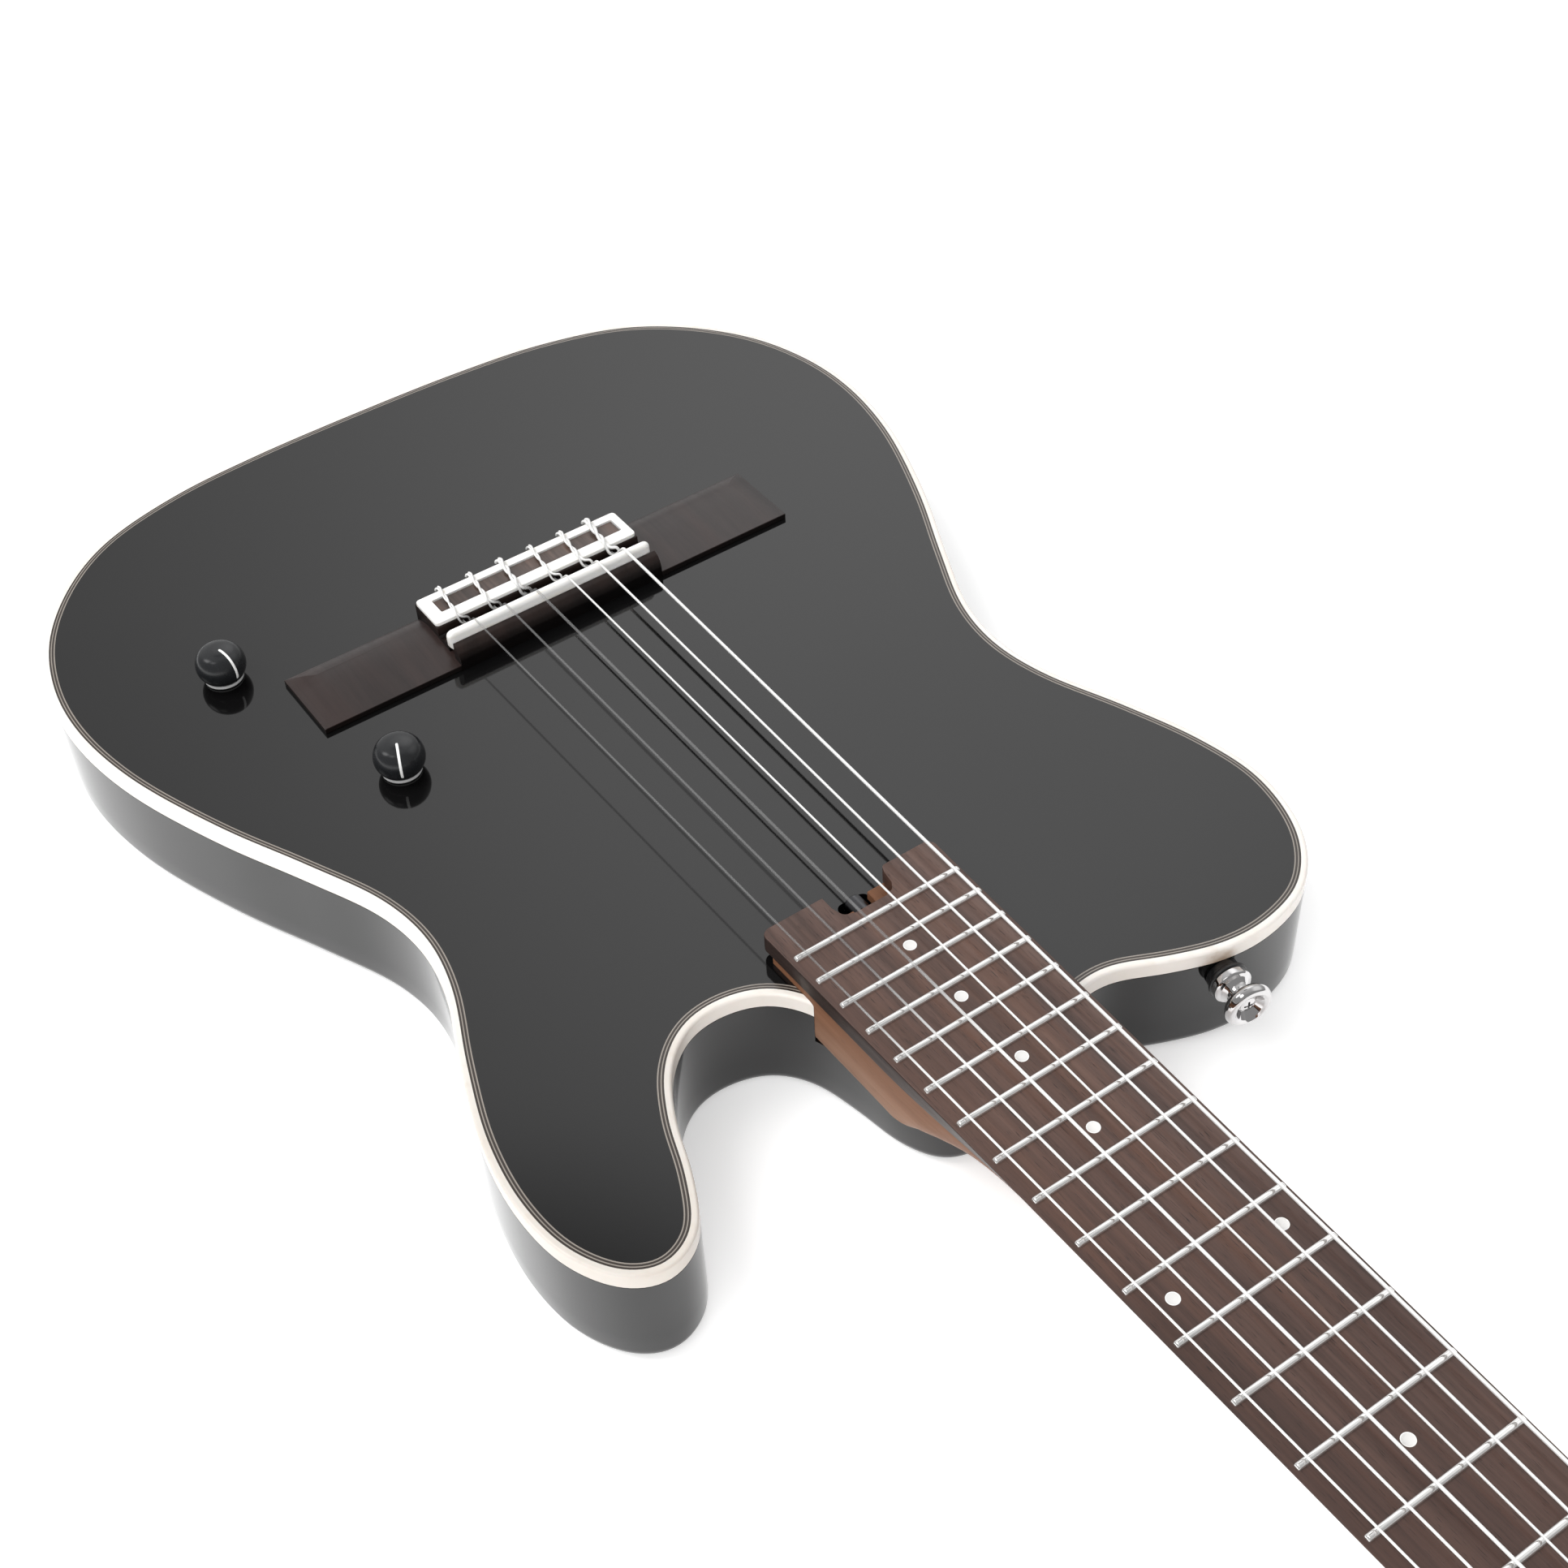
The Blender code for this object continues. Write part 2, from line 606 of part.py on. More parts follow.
# ================================================================ fretboard
NOTCH = [  # opening at the body end that clears the truss-rod key
    (150.0, -9.8), (173.2, -9.8), (176.0, -8.6), (177.6, -5.8), (177.9, 6.5),
    (176.9, 9.4), (174.6, 10.9), (169.8, 11.6), (167.8, 12.4), (166.6, 14.0), (150.0, 14.0),
]
SIDE_X = (225.0, 240.0, 257.0, 274.0, 290.0, 560.0, 583.0, 607.0, 630.0, SCALE - 0.2)


def board_level(z):
    """Outline of the board at height z; its sides lean in where the neck is slim."""
    deep = LEAN_IN * (BOARD_TOP - z) / BOARD_T
    treble = [(x, -board_half(x) + deep * lean(x)) for x in SIDE_X]
    bass = [(x, board_half(x) - bass_in(x) - deep * lean(x)) for x in SIDE_X]
    h0, h1 = -board_half(BOARD_END), board_half(BOARD_END) - bass_in(BOARD_END)
    outline = [(BOARD_END, 0.0), (BOARD_END, h0 + 3.2), (BOARD_END + 0.9, h0 + 0.9), (BOARD_END + 3.2, h0)]
    outline += treble + bass[::-1]
    outline += [(BOARD_END + 3.2, h1), (BOARD_END + 0.9, h1 - 0.9), (BOARD_END, h1 - 3.2)]
    return [(x, y, z) for x, y in outline]


board = loft("fretboard", [board_level(BOARD_TOP - BOARD_T), board_level(BOARD_TOP)])
cut(board, prism("notch", NOTCH, 40.0, 60.0))
slots = []
for n in range(1, 23):
    x = fret_x(n)
    w = board_half(x)
    slots.append(bar("slot", x - 0.6, x + 0.6, 2.7 - w, w - 3.5, 47.4, 60.0))
cut(board, merge_islands("cutter", slots))
cut(board, bar("groove", 180.4, 615.2, -1.4, 1.4, 40.0, 48.6))
paint(board, ROSEWOOD, 30)

# Twenty-two frets. A thin rail under the board ties their tangs together.
FRET = [(-1.05, 51.25), (-0.3, 51.25), (-0.3, 47.8), (0.3, 47.8), (0.3, 51.25),
        (1.05, 51.25), (0.7, 52.0), (0.0, 52.3), (-0.7, 52.0)]
wires = []
for n in range(1, 23):
    x = fret_x(n)
    w = board_half(x) - 1.9
    # The tang is cut back under both ends of the crown.
    wires.append(loft("fret", [
        [(x + dx, y, tang if z < 51.0 else z) for dx, z in FRET]
        for y, tang in ((-w, 51.2), (1.2 - w, 51.2), (1.6 - w, 47.8), (w - 2.4, 47.8), (w - 2.0, 51.2), (w, 51.2))]))
frets = bar("frets", 181.6, 614.0, -1.0, 1.0, 46.8, 48.2)
join(frets, merge_islands("wires", wires))
paint(frets, NICKEL, 40)

# Nut with six slots.
nut = loft("nut", [
    [(650.1, y, 45.2), (655.4, y, 45.2), (655.4, y, 52.0), (653.6, y, 53.1), (650.1, y, 53.5)]
    for y in (-24.3, 24.3)
])
slots = [bar("slot", 640.0, 666.0, y - r - 0.2, y + r + 0.2, 52.6 - r, 60.0)
         for y, r in zip(NUT_Y, STRING_R)]
cut(nut, merge_islands("cutter", slots))
paint(nut, BONE, 40)

# ================================================================ truss rod
rod = lathe("truss_rod", [(2.4, 184.5), (2.4, 629.0)], (0, TRUSS_Y, TRUSS_Z), (1, 0, 0), 10)
join(rod, bar("spine", 190.0, 626.0, TRUSS_Y - 2.4, TRUSS_Y + 2.4, 42.4, 44.4))
paint(rod, STEEL, 40)
wheel = lathe("truss_nut", [(2.7, 166.5), (3.1, 167.1), (3.1, 176.4), (2.5, 177.2),
                            (2.5, 183.6)],
              (0, TRUSS_Y, TRUSS_Z), (1, 0, 0), 18)
holes = [lathe("spoke", [(0.7, 2.1), (0.7, 6.0)],
               (173.4, TRUSS_Y, TRUSS_Z), (0, math.cos(t), math.sin(t)), 6)
         for t in (math.radians(90 * k + 20) for k in range(4))]
cut(wheel, merge_islands("cutter", holes))
cut(wheel, lathe("hex", [(1.6, 160), (1.6, 170)], (0, TRUSS_Y, TRUSS_Z), (1, 0, 0), 6))
paint(wheel, STEEL, 40)
pivot(wheel, (HEEL_END, TRUSS_Y, TRUSS_Z))

# ================================================================ strings
for k in range(6):
    r = STRING_R[k]
    y, yn = SADDLE_Y[k], NUT_Y[k]
    side = -1 if k < 3 else 1
    xp = POST_X[k]
    post = Vector((xp, side * POST_Y, face_z(xp)))
    top = SADDLE_TOP + r + 0.25
    end = 52.75
    path = [
        (-13.4, y - 2.4, 50.2), (-13.6, y - 2.4, 52.0 + r * 0.5), (-15.6, y - 2.2, 52.15 + r),
        (-22.0, y - 1.2, 52.15 + r), (-30.0, y - 0.1, 52.15 + r), (-32.2, y, 51.0 + r),
        (-32.6, y, 49.2), (-31.6, y, 48.2), (-29.5, y, 47.9), (-15.4, y, 47.9),
        (-13.2, y, 48.5), (SADDLE_X - 1.9, y, top - 0.9), (SADDLE_X, y, top),
        (SADDLE_X + 2.5, y, top - 0.01), (649.9, yn, end), (655.6, yn, end - 0.1),
    ]
    # Two turns round the post, clear of it so that the post can turn inside.
    winding = 3.0 + 0.4 + r
    tip = post + NORMAL * 8.0
    turns, steps = 1.7, 8
    for i in range(int(turns * steps) + 1):
        t = i / steps
        ang = -side * math.pi / 2 + side * 2 * math.pi * t
        p = (tip - NORMAL * (t * (2 * r + 0.35)) + DOWN_FACE * (winding * math.cos(ang))
             + Vector((0, 1, 0)) * (winding * math.sin(ang)))
        path.append(tuple(p))
    look = NYLON if k < 3 else SILVER
    tube(f"string_{k + 1}", path, r, 5, look, 80)

# ================================================================ tuners
TEETH = 14
PITCH_R = 5.8
LEAD = 2 * math.pi * PITCH_R / TEETH
WORM_D = 8.3
LAYER = -(VENEER_T + GAP + HEAD_T)      # back of the headstock below its face
GEAR_H = 2.4
AXIS_H = LAYER - 5.3                    # height of gear middle and worm axis


def tuner(index, px, side):
    """Plate, post with gear, worm shaft with button, for one string."""
    base = Vector((px, side * POST_Y, face_z(px)))
    u, v, w = DOWN_FACE, Vector((0, 1, 0)), NORMAL

    def at(a, b, c):
        return base + u * a + v * b + w * c

    def block(name, a0, a1, b0, b1, c0, c1):
        low = [at(a0, b0, c0), at(a1, b0, c0), at(a1, b1, c0), at(a0, b1, c0)]
        high = [at(a0, b0, c1), at(a1, b0, c1), at(a1, b1, c1), at(a0, b1, c1)]
        return loft(name, [low, high])

    # Base plate with two bearing lugs for the worm shaft.
    reach = 7.6
    plate = block(f"tuner_plate_{index}", -7.0, 12.4, -11.5, 11.5, LAYER - 1.9, LAYER - 0.4)
    lugs = [block("lug", WORM_D - 3.4, WORM_D + 3.4, b - 1.3, b + 1.3, AXIS_H - 3.2, LAYER - 1.0)
            for b in (-reach, reach)]
    join(plate, *lugs)
    cut(plate,
        lathe("hole", [(3.6, LAYER - 6), (3.6, LAYER + 4)], base, w, 10),
        lathe("hole", [(1.85, -14), (1.85, 14)], at(WORM_D, 0, AXIS_H), v, 8))
    paint(plate, CHROME, 40)

    # Post, with the gear cut on its foot.
    prof = [(2.4, AXIS_H - 1.8), (3.0, AXIS_H + GEAR_H / 2 + 0.4), (3.0, 6.0),
            (2.5, 6.6), (2.5, 9.4), (3.0, 10.0), (3.0, 12.8)]
    post = lathe(f"tuner_post_{index}", prof, base, w, 8)
    twist = GEAR_H / 2 * math.tan(math.atan(LEAD / (2 * math.pi * 2.35))) / PITCH_R
    rings = []
    for h, tw in ((-GEAR_H / 2, -twist), (GEAR_H / 2, twist)):
        pts = []
        for t in range(TEETH):
            mid = 2 * math.pi * (t + 0.5) / TEETH
            for da, r in ((-0.125, 4.8), (-0.062, 6.3), (0.062, 6.3), (0.125, 4.8)):
                ang = mid + da + tw
                pts.append(at(r * math.cos(ang), r * math.sin(ang), AXIS_H + h))
        rings.append(pts)
    join(post, loft("gear", rings))
    cut(post, lathe("eye", [(0.8, -6), (0.8, 6)], at(0, 0, 8.0), u, 6))
    paint(post, CHROME, 40)
    pivot(post, base)

    # Worm on its shaft; the button sits outside the headstock edge.
    axis_at = at(WORM_D, 0, AXIS_H)
    out = side
    prof = [(1.5, -10.5), (1.5, 33.5)]
    shaft = lathe(f"tuner_key_{index}", prof, axis_at, (0, out, 0), 8)
    steps, turns = 7, 2.3
    rings = []
    total = int(steps * turns)
    for i in range(total + 1):
        t = (i / steps) - turns / 2
        phi = math.pi + 2 * math.pi * t        # pi faces the gear
        centre = LEAD * t
        ring_pts = []
        for r, b in ((1.2, -0.85), (3.0, -0.1), (3.0, 0.1), (1.2, 0.85)):
            if i in (0, total):
                r = min(r, 1.9)
            ring_pts.append(axis_at + u * (r * math.cos(phi)) - w * (r * math.sin(phi))
                            + v * (centre + b))
        rings.append(ring_pts)
    thread = loft("thread", rings)
    # Flattened oval button.
    knob_rings = []
    for b, ru, rw in ((20.5, 2.2, 2.2), (25.0, 7.4, 3.8), (32.5, 9.0, 3.5),
                      (37.3, 4.2, 2.2)):
        knob_rings.append([
            axis_at + v * (out * b) + u * (ru * math.cos(2 * math.pi * j / 10))
            + w * (rw * math.sin(2 * math.pi * j / 10)) for j in range(10)
        ])
    join(shaft, thread, loft("button", knob_rings))
    paint(shaft, CHROME, 40)
    pivot(shaft, axis_at)


for index, (px, side) in enumerate(((POST_X[k], -1 if k < 3 else 1) for k in range(6)), 1):
    tuner(index, px, side)

# ================================================================ neck plate, bolts
joint_plate = prism("neck_plate", round_rect(182.0, 232.0, -19.0, 29.0, 4.0, 2), 0.2, 2.1)
cut(joint_plate, merge_islands("cutter", [
    lathe("h", [(4.6, -1), (4.6, 5)], (bx, by, 0), (0, 0, 1), 14) for bx, by in BOLTS]))
paint(joint_plate, CHROME, 30)
for i, (bx, by) in enumerate(BOLTS, 1):
    bolt = lathe(f"neck_bolt_{i}", [(3.4, 0.3), (4.2, 0.7), (4.2, 1.2), (2.0, 2.2), (2.0, 34.0),
                                    (1.0, 35.6)], (bx, by, 0), (0, 0, 1), 10)
    cross = [bar("x", bx - 2.2, bx + 2.2, by - 0.4, by + 0.4, -1, 1.5),
             bar("x", bx - 0.4, bx + 0.4, by - 2.2, by + 2.2, -1, 1.5)]
    cut(bolt, *cross)
    paint(bolt, CHROME, 40)
# The bolt shanks narrow before they meet the floor of the cover seat.

# ================================================================ controls
for tag, (kx, ky) in (("volume", VOLUME_AT), ("tone", TONE_AT)):
    knob = lathe(f"{tag}_knob", [
        (2.9, 26.0), (2.9, 42.6), (7.6, 42.7), (7.7, 43.8), (8.5, 46.6), (8.5, 50.0),
        (7.6, 53.2), (5.6, 54.7), (0.0, 55.1)],
        (kx, ky, 0), (0, 0, 1), 20)
    paint(knob, PLASTIC, 60)
    pivot(knob, (kx, ky, BODY_T))
    pot = lathe(f"{tag}_pot", [
        (8.2, 18.0), (8.2, 27.6), (6.5, 28.0), (6.5, 32.4), (4.4, 32.7), (4.4, 42.0)],
        (kx, ky, 0), (0, 0, 1), 14)
    join(pot, bar("tabs", kx - 6.0, kx + 6.0, ky - 14.0, ky - 7.0, 22.4, 23.6))
    cut(pot, lathe("bore", [(3.25, 24.5), (3.25, 60)], (kx, ky, 0), (0, 0, 1), 14))
    paint(pot, STEEL, 40)

board_pcb = bar("preamp_board", -33.0, 8.0, -103.0, -75.0, 12.0, 13.6)
join(board_pcb,
     bar("chip", -26.0, -16.0, -98.0, -91.0, 8.6, 12.6),
     bar("chip", -8.0, 2.0, -90.0, -80.0, 9.4, 12.6),
     bar("lead", -30.0, -24.0, -86.0, -79.0, 6.5, 12.6))
paint(board_pcb, ((0.03, 0.16, 0.06), 0.0, 0.4, 0.0))
prism("control_cover", capsule(*CONTROL, 28.6), 0.25, 2.2, PLASTIC, 35)

# ================================================================ battery bay
box = prism("battery_box", round_rect(-112.0, -52.0, 38.0, 74.0, 2.8, 2), 2.2, 24.2)
join(box, prism("rim", round_rect(-115.0, -49.0, 35.3, 76.7, 2.8, 2), 0.4, 1.6),
     prism("neck", round_rect(-112.0, -52.0, 38.0, 74.0, 2.8, 2), 1.2, 3.0))
cut(box, bar("well", -110.4, -53.6, 39.6, 72.4, -1.0, 22.6),
    lathe("pin", [(1.25, 38.4), (1.25, 73.6)], (-108.6, 0, 2.2), (0, 1, 0), 10))
paint(box, PLASTIC, 30)
DOOR_X, DOOR_Z = -108.6, 2.2
door = bar("battery_door", -108.2, -54.2, 40.1, 71.9, 0.6, 2.3)
join(door, lathe("roll", [(1.4, 40.1), (1.4, 71.9)], (DOOR_X, 0, DOOR_Z), (0, 1, 0), 10),
     lathe("pin", [(0.95, 38.9), (0.95, 73.1)], (DOOR_X, 0, DOOR_Z), (0, 1, 0), 8),
     bar("catch", -57.0, -55.6, 50.0, 62.0, 1.8, 4.2))
paint(door, PLASTIC, 30)
pivot(door, (DOOR_X, 56.0, DOOR_Z))
cell = prism("battery", round_rect(-105.6, -58.6, 42.8, 69.2, 1.8, 2), 5.0, 22.0)
join(cell, lathe("snap", [(3.6, -106.4), (3.6, -104.0)], (0, 62.2, 13.5), (1, 0, 0), 10),
     lathe("snap", [(2.8, -106.4), (2.8, -104.0)], (0, 49.8, 13.5), (1, 0, 0), 6))
paint(cell, ((0.05, 0.05, 0.06), 0.3, 0.3, 0.3), 30)

# ================================================================ output jack
o, a = rim_axis(JACK_P, JACK_N, JACK_Z)
jack = lathe("output_jack", [(5.0, -31.0), (6.4, -29.5), (6.4, 0.7), (10.4, 0.7),
                             (10.4, 1.9), (9.6, 2.6), (6.2, 2.6), (5.6, 3.7), (4.6, 3.9)],
             o, a, 18)
cut(jack, lathe("bore", [(3.25, -28.0), (3.25, 8.0)], o, a, 12))
paint(jack, CHROME, 40)

# ================================================================ strap buttons
for tag, p, n, z in (("upper", STRAP_P, STRAP_N, STRAP_Z), ("tail", TAIL_P, TAIL_N, TAIL_Z)):
    o, a = rim_axis(p, n, z)
    washer = lathe(f"strap_washer_{tag}", [(5.4, 0.7), (5.4, 2.8), (6.4, 3.2), (6.4, 3.9)], o, a, 14)
    cut(washer, lathe("h", [(2.6, -5), (2.6, 8)], o, a, 8))
    paint(washer, PLASTIC, 40)
    button = lathe(f"strap_button_{tag}", [
        (6.1, 4.2), (6.2, 6.2), (4.6, 7.6), (3.7, 9.6), (4.4, 11.4), (7.0, 12.4),
        (8.0, 14.2), (7.2, 16.0)], o, a, 14)
    cut(button, lathe("dish", [(2.5, -4), (2.5, 13.0), (4.3, 14.6), (4.7, 19)], o, a, 10))
    paint(button, CHROME, 60)
    screw = lathe(f"strap_screw_{tag}", [(0.6, -17.5), (1.6, -15.0), (1.7, 13.4), (3.6, 14.6),
                                         (2.6, 15.6)], o, a, 10)
    place = frame_at(o, a)

    def slot(length, width):
        low = [place(sx * length, sy * width, 14.6) for sx, sy in
               ((-1, -1), (1, -1), (1, 1), (-1, 1))]
        high = [place(sx * length, sy * width, 17.0) for sx, sy in
                ((-1, -1), (1, -1), (1, 1), (-1, 1))]
        return loft("slot", [low, high])

    cut(screw, slot(1.7, 0.35), slot(0.35, 1.7))
    paint(screw, CHROME, 40)
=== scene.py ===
"""Looks of the nylon-string electric-classical guitar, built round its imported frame.

Row frame: +X along the strings towards the headstock, +Y the bass side, +Z out of the
top, z = 0 the flat back. Helper functions take millimetres and make metres.
"""
import math

import bmesh
import bpy
import numpy as np
from mathutils import Matrix, Vector


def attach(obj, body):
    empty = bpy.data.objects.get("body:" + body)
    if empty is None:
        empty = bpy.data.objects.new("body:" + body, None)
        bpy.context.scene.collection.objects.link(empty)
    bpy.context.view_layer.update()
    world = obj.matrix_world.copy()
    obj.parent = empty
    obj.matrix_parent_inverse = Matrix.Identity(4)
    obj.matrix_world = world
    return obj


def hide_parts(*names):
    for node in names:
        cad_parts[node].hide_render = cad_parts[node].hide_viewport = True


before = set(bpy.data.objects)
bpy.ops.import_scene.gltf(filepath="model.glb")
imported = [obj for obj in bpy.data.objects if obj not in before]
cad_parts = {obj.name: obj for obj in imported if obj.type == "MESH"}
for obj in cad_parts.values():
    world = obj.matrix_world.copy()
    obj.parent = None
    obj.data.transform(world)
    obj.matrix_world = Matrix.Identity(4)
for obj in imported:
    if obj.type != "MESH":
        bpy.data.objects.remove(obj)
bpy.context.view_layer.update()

MM = 0.001
scene = bpy.context.scene

# ---------------------------------------------------------------- sizes, as in the CAD
SCALE = 650.0
BODY_T = 42.0
BIND_Z0 = 36.3
BIND_W = 2.2
BOARD_TOP = 51.1
BOARD_T = 6.0
BOARD_END = 167.0
NECK_TOP = 45.1
HEEL_END = 172.7
HEEL_Z = 25.3
FACE_TILT = math.radians(6.0)
HEAD_START = 656.0
HEAD_END = 828.0
FACE_Z = 47.3
VENEER_T = 2.0
HEAD_T = 14.5
GAP = 0.3
SADDLE_X = -5.1
SADDLE_TOP = 55.2
STRING_R = (0.36, 0.41, 0.52, 0.37, 0.45, 0.56)
SADDLE_Y = (-31.2, -18.9, -6.7, 5.7, 18.2, 29.2)
NUT_Y = (-19.4, -11.1, -2.9, 5.4, 13.6, 21.9)
POST_X = (695.0, 735.0, 775.0, 775.0, 735.0, 695.0)
POST_Y = 24.0
VOLUME_AT = (31.4, -81.3)
TONE_AT = (-46.4, -108.4)
TRUSS_Y, TRUSS_Z = 1.6, 41.4
RECESS = (165.9, 184.0, -4.4, 6.9)
STRAP_P, STRAP_N, STRAP_Z = (248.8, 78.6), (0.9851, -0.1719), 31.0
TAIL_P, TAIL_N, TAIL_Z = (-158.4, 0.0), (-1.0, 0.0), 20.0
JACK_P, JACK_N, JACK_Z = (-157.4, -45.0), (-1.0, 0.0), 19.0
BOLTS = [(188.5, -12.0), (188.5, 22.0), (225.5, -12.0), (225.5, 22.0)]
CONTROL = (-50.0, -106.0, 36.0, -80.0)


# ================================================================ material tools
class Graph:
    """A small wrapper that keeps node building short."""

    def __init__(self, name, colour=(0.5, 0.5, 0.5), **settings):
        self.mat = bpy.data.materials.new(name)
        self.mat.use_nodes = True
        self.tree = self.mat.node_tree
        self.shader = self.tree.nodes["Principled BSDF"]
        self.put("Base Color", (*colour, 1.0))
        for key, value in settings.items():
            self.put(key.replace("_", " ").title().replace("Ior", "IOR"), value)
        self.coords = self.tree.nodes.new("ShaderNodeTexCoord")

    def put(self, socket, value):
        target = self.shader.inputs[socket]
        if hasattr(value, "is_output"):
            self.tree.links.new(value, target)
        else:
            target.default_value = value

    def wire(self, value, target):
        if hasattr(value, "is_output"):
            self.tree.links.new(value, target)
        else:
            target.default_value = value

    def space(self, scale=(1, 1, 1), turn=(0, 0, 0), shift=(0, 0, 0)):
        n = self.tree.nodes.new("ShaderNodeMapping")
        n.inputs["Scale"].default_value = scale
        n.inputs["Rotation"].default_value = turn
        n.inputs["Location"].default_value = shift
        self.tree.links.new(self.coords.outputs["Object"], n.inputs["Vector"])
        return n.outputs["Vector"]

    def noise(self, vector, scale=1.0, detail=3.0, rough=0.5, warp=0.0):
        n = self.tree.nodes.new("ShaderNodeTexNoise")
        self.tree.links.new(vector, n.inputs["Vector"])
        n.inputs["Scale"].default_value = scale
        n.inputs["Detail"].default_value = detail
        n.inputs["Roughness"].default_value = rough
        n.inputs["Distortion"].default_value = warp
        return n.outputs["Fac"]

    def cells(self, vector, scale=1.0, feature="F1"):
        n = self.tree.nodes.new("ShaderNodeTexVoronoi")
        n.feature = feature
        self.tree.links.new(vector, n.inputs["Vector"])
        n.inputs["Scale"].default_value = scale
        return n.outputs["Distance"]

    def waves(self, vector, scale, warp=0.0, axis="X"):
        n = self.tree.nodes.new("ShaderNodeTexWave")
        n.bands_direction = axis
        self.tree.links.new(vector, n.inputs["Vector"])
        n.inputs["Scale"].default_value = scale
        n.inputs["Distortion"].default_value = warp
        return n.outputs["Fac"]

    def ramp(self, value, *stops):
        n = self.tree.nodes.new("ShaderNodeValToRGB")
        self.tree.links.new(value, n.inputs["Fac"])
        e = n.color_ramp.elements
        while len(e) < len(stops):
            e.new(0.5)
        for element, (at, colour) in zip(e, stops):
            element.position = at
            if not hasattr(colour, "__len__"):
                colour = (colour, colour, colour)
            element.color = (*colour, 1.0)
        return n.outputs["Color"]

    def span(self, value, a0, a1, b0, b1, smooth=True):
        n = self.tree.nodes.new("ShaderNodeMapRange")
        n.interpolation_type = "SMOOTHSTEP" if smooth else "LINEAR"
        self.wire(value, n.inputs["Value"])
        for key, number in (("From Min", a0), ("From Max", a1), ("To Min", b0), ("To Max", b1)):
            n.inputs[key].default_value = number
        return n.outputs["Result"]

    def mix(self, factor, a, b, kind="MIX"):
        n = self.tree.nodes.new("ShaderNodeMix")
        n.data_type = "RGBA"
        n.blend_type = kind
        n.clamp_result = False
        self.wire(factor, n.inputs[0])
        for value, index in ((a, 6), (b, 7)):
            if hasattr(value, "__len__"):
                value = (*value, 1.0) if len(value) == 3 else value
            self.wire(value, n.inputs[index])
        return n.outputs[2]

    def sum(self, a, b, operation="ADD"):
        n = self.tree.nodes.new("ShaderNodeMath")
        n.operation = operation
        self.wire(a, n.inputs[0])
        self.wire(b, n.inputs[1])
        return n.outputs[0]

    def away(self, point):
        """Distance in metres from a point given in millimetres."""
        n = self.tree.nodes.new("ShaderNodeVectorMath")
        n.operation = "DISTANCE"
        self.tree.links.new(self.coords.outputs["Object"], n.inputs[0])
        n.inputs[1].default_value = [c * MM for c in point]
        return n.outputs["Value"]

    def axis_part(self, axis):
        n = self.tree.nodes.new("ShaderNodeSeparateXYZ")
        self.tree.links.new(self.coords.outputs["Object"], n.inputs[0])
        return n.outputs["XYZ".index(axis)]

    def bump(self, height, strength, distance=0.001, under=None):
        n = self.tree.nodes.new("ShaderNodeBump")
        n.inputs["Strength"].default_value = strength
        n.inputs["Distance"].default_value = distance
        self.tree.links.new(height, n.inputs["Height"])
        if under is not None:
            self.tree.links.new(under, n.inputs["Normal"])
        return n.outputs["Normal"]


def lacquer(name, tint=(0.0030, 0.0029, 0.0030), haze=0.045):
    g = Graph(name, tint, ior=1.5)
    flat = g.space((1, 1, 1))
    cloud = g.noise(flat, 9.0, 3.0)
    swirl = g.noise(g.space((60, 900, 900), (0, 0, 0.5)), 1.0, 2.0)
    swirl2 = g.noise(g.space((900, 70, 900), (0, 0, -0.35)), 1.0, 2.0)
    fine = g.sum(g.span(swirl, 0.62, 0.75, 0.0, 0.010), g.span(swirl2, 0.64, 0.76, 0.0, 0.010))
    g.put("Roughness", g.sum(g.span(cloud, 0.35, 0.7, haze, haze + 0.02), fine))
    g.put("Base Color", g.mix(g.span(cloud, 0.3, 0.7, 0, 1), tint,
                              tuple(c * 1.25 for c in tint)))
    peel = g.noise(flat, 420.0, 1.0)
    g.put("Normal", g.bump(peel, 0.003, 0.0003))
    return g.mat


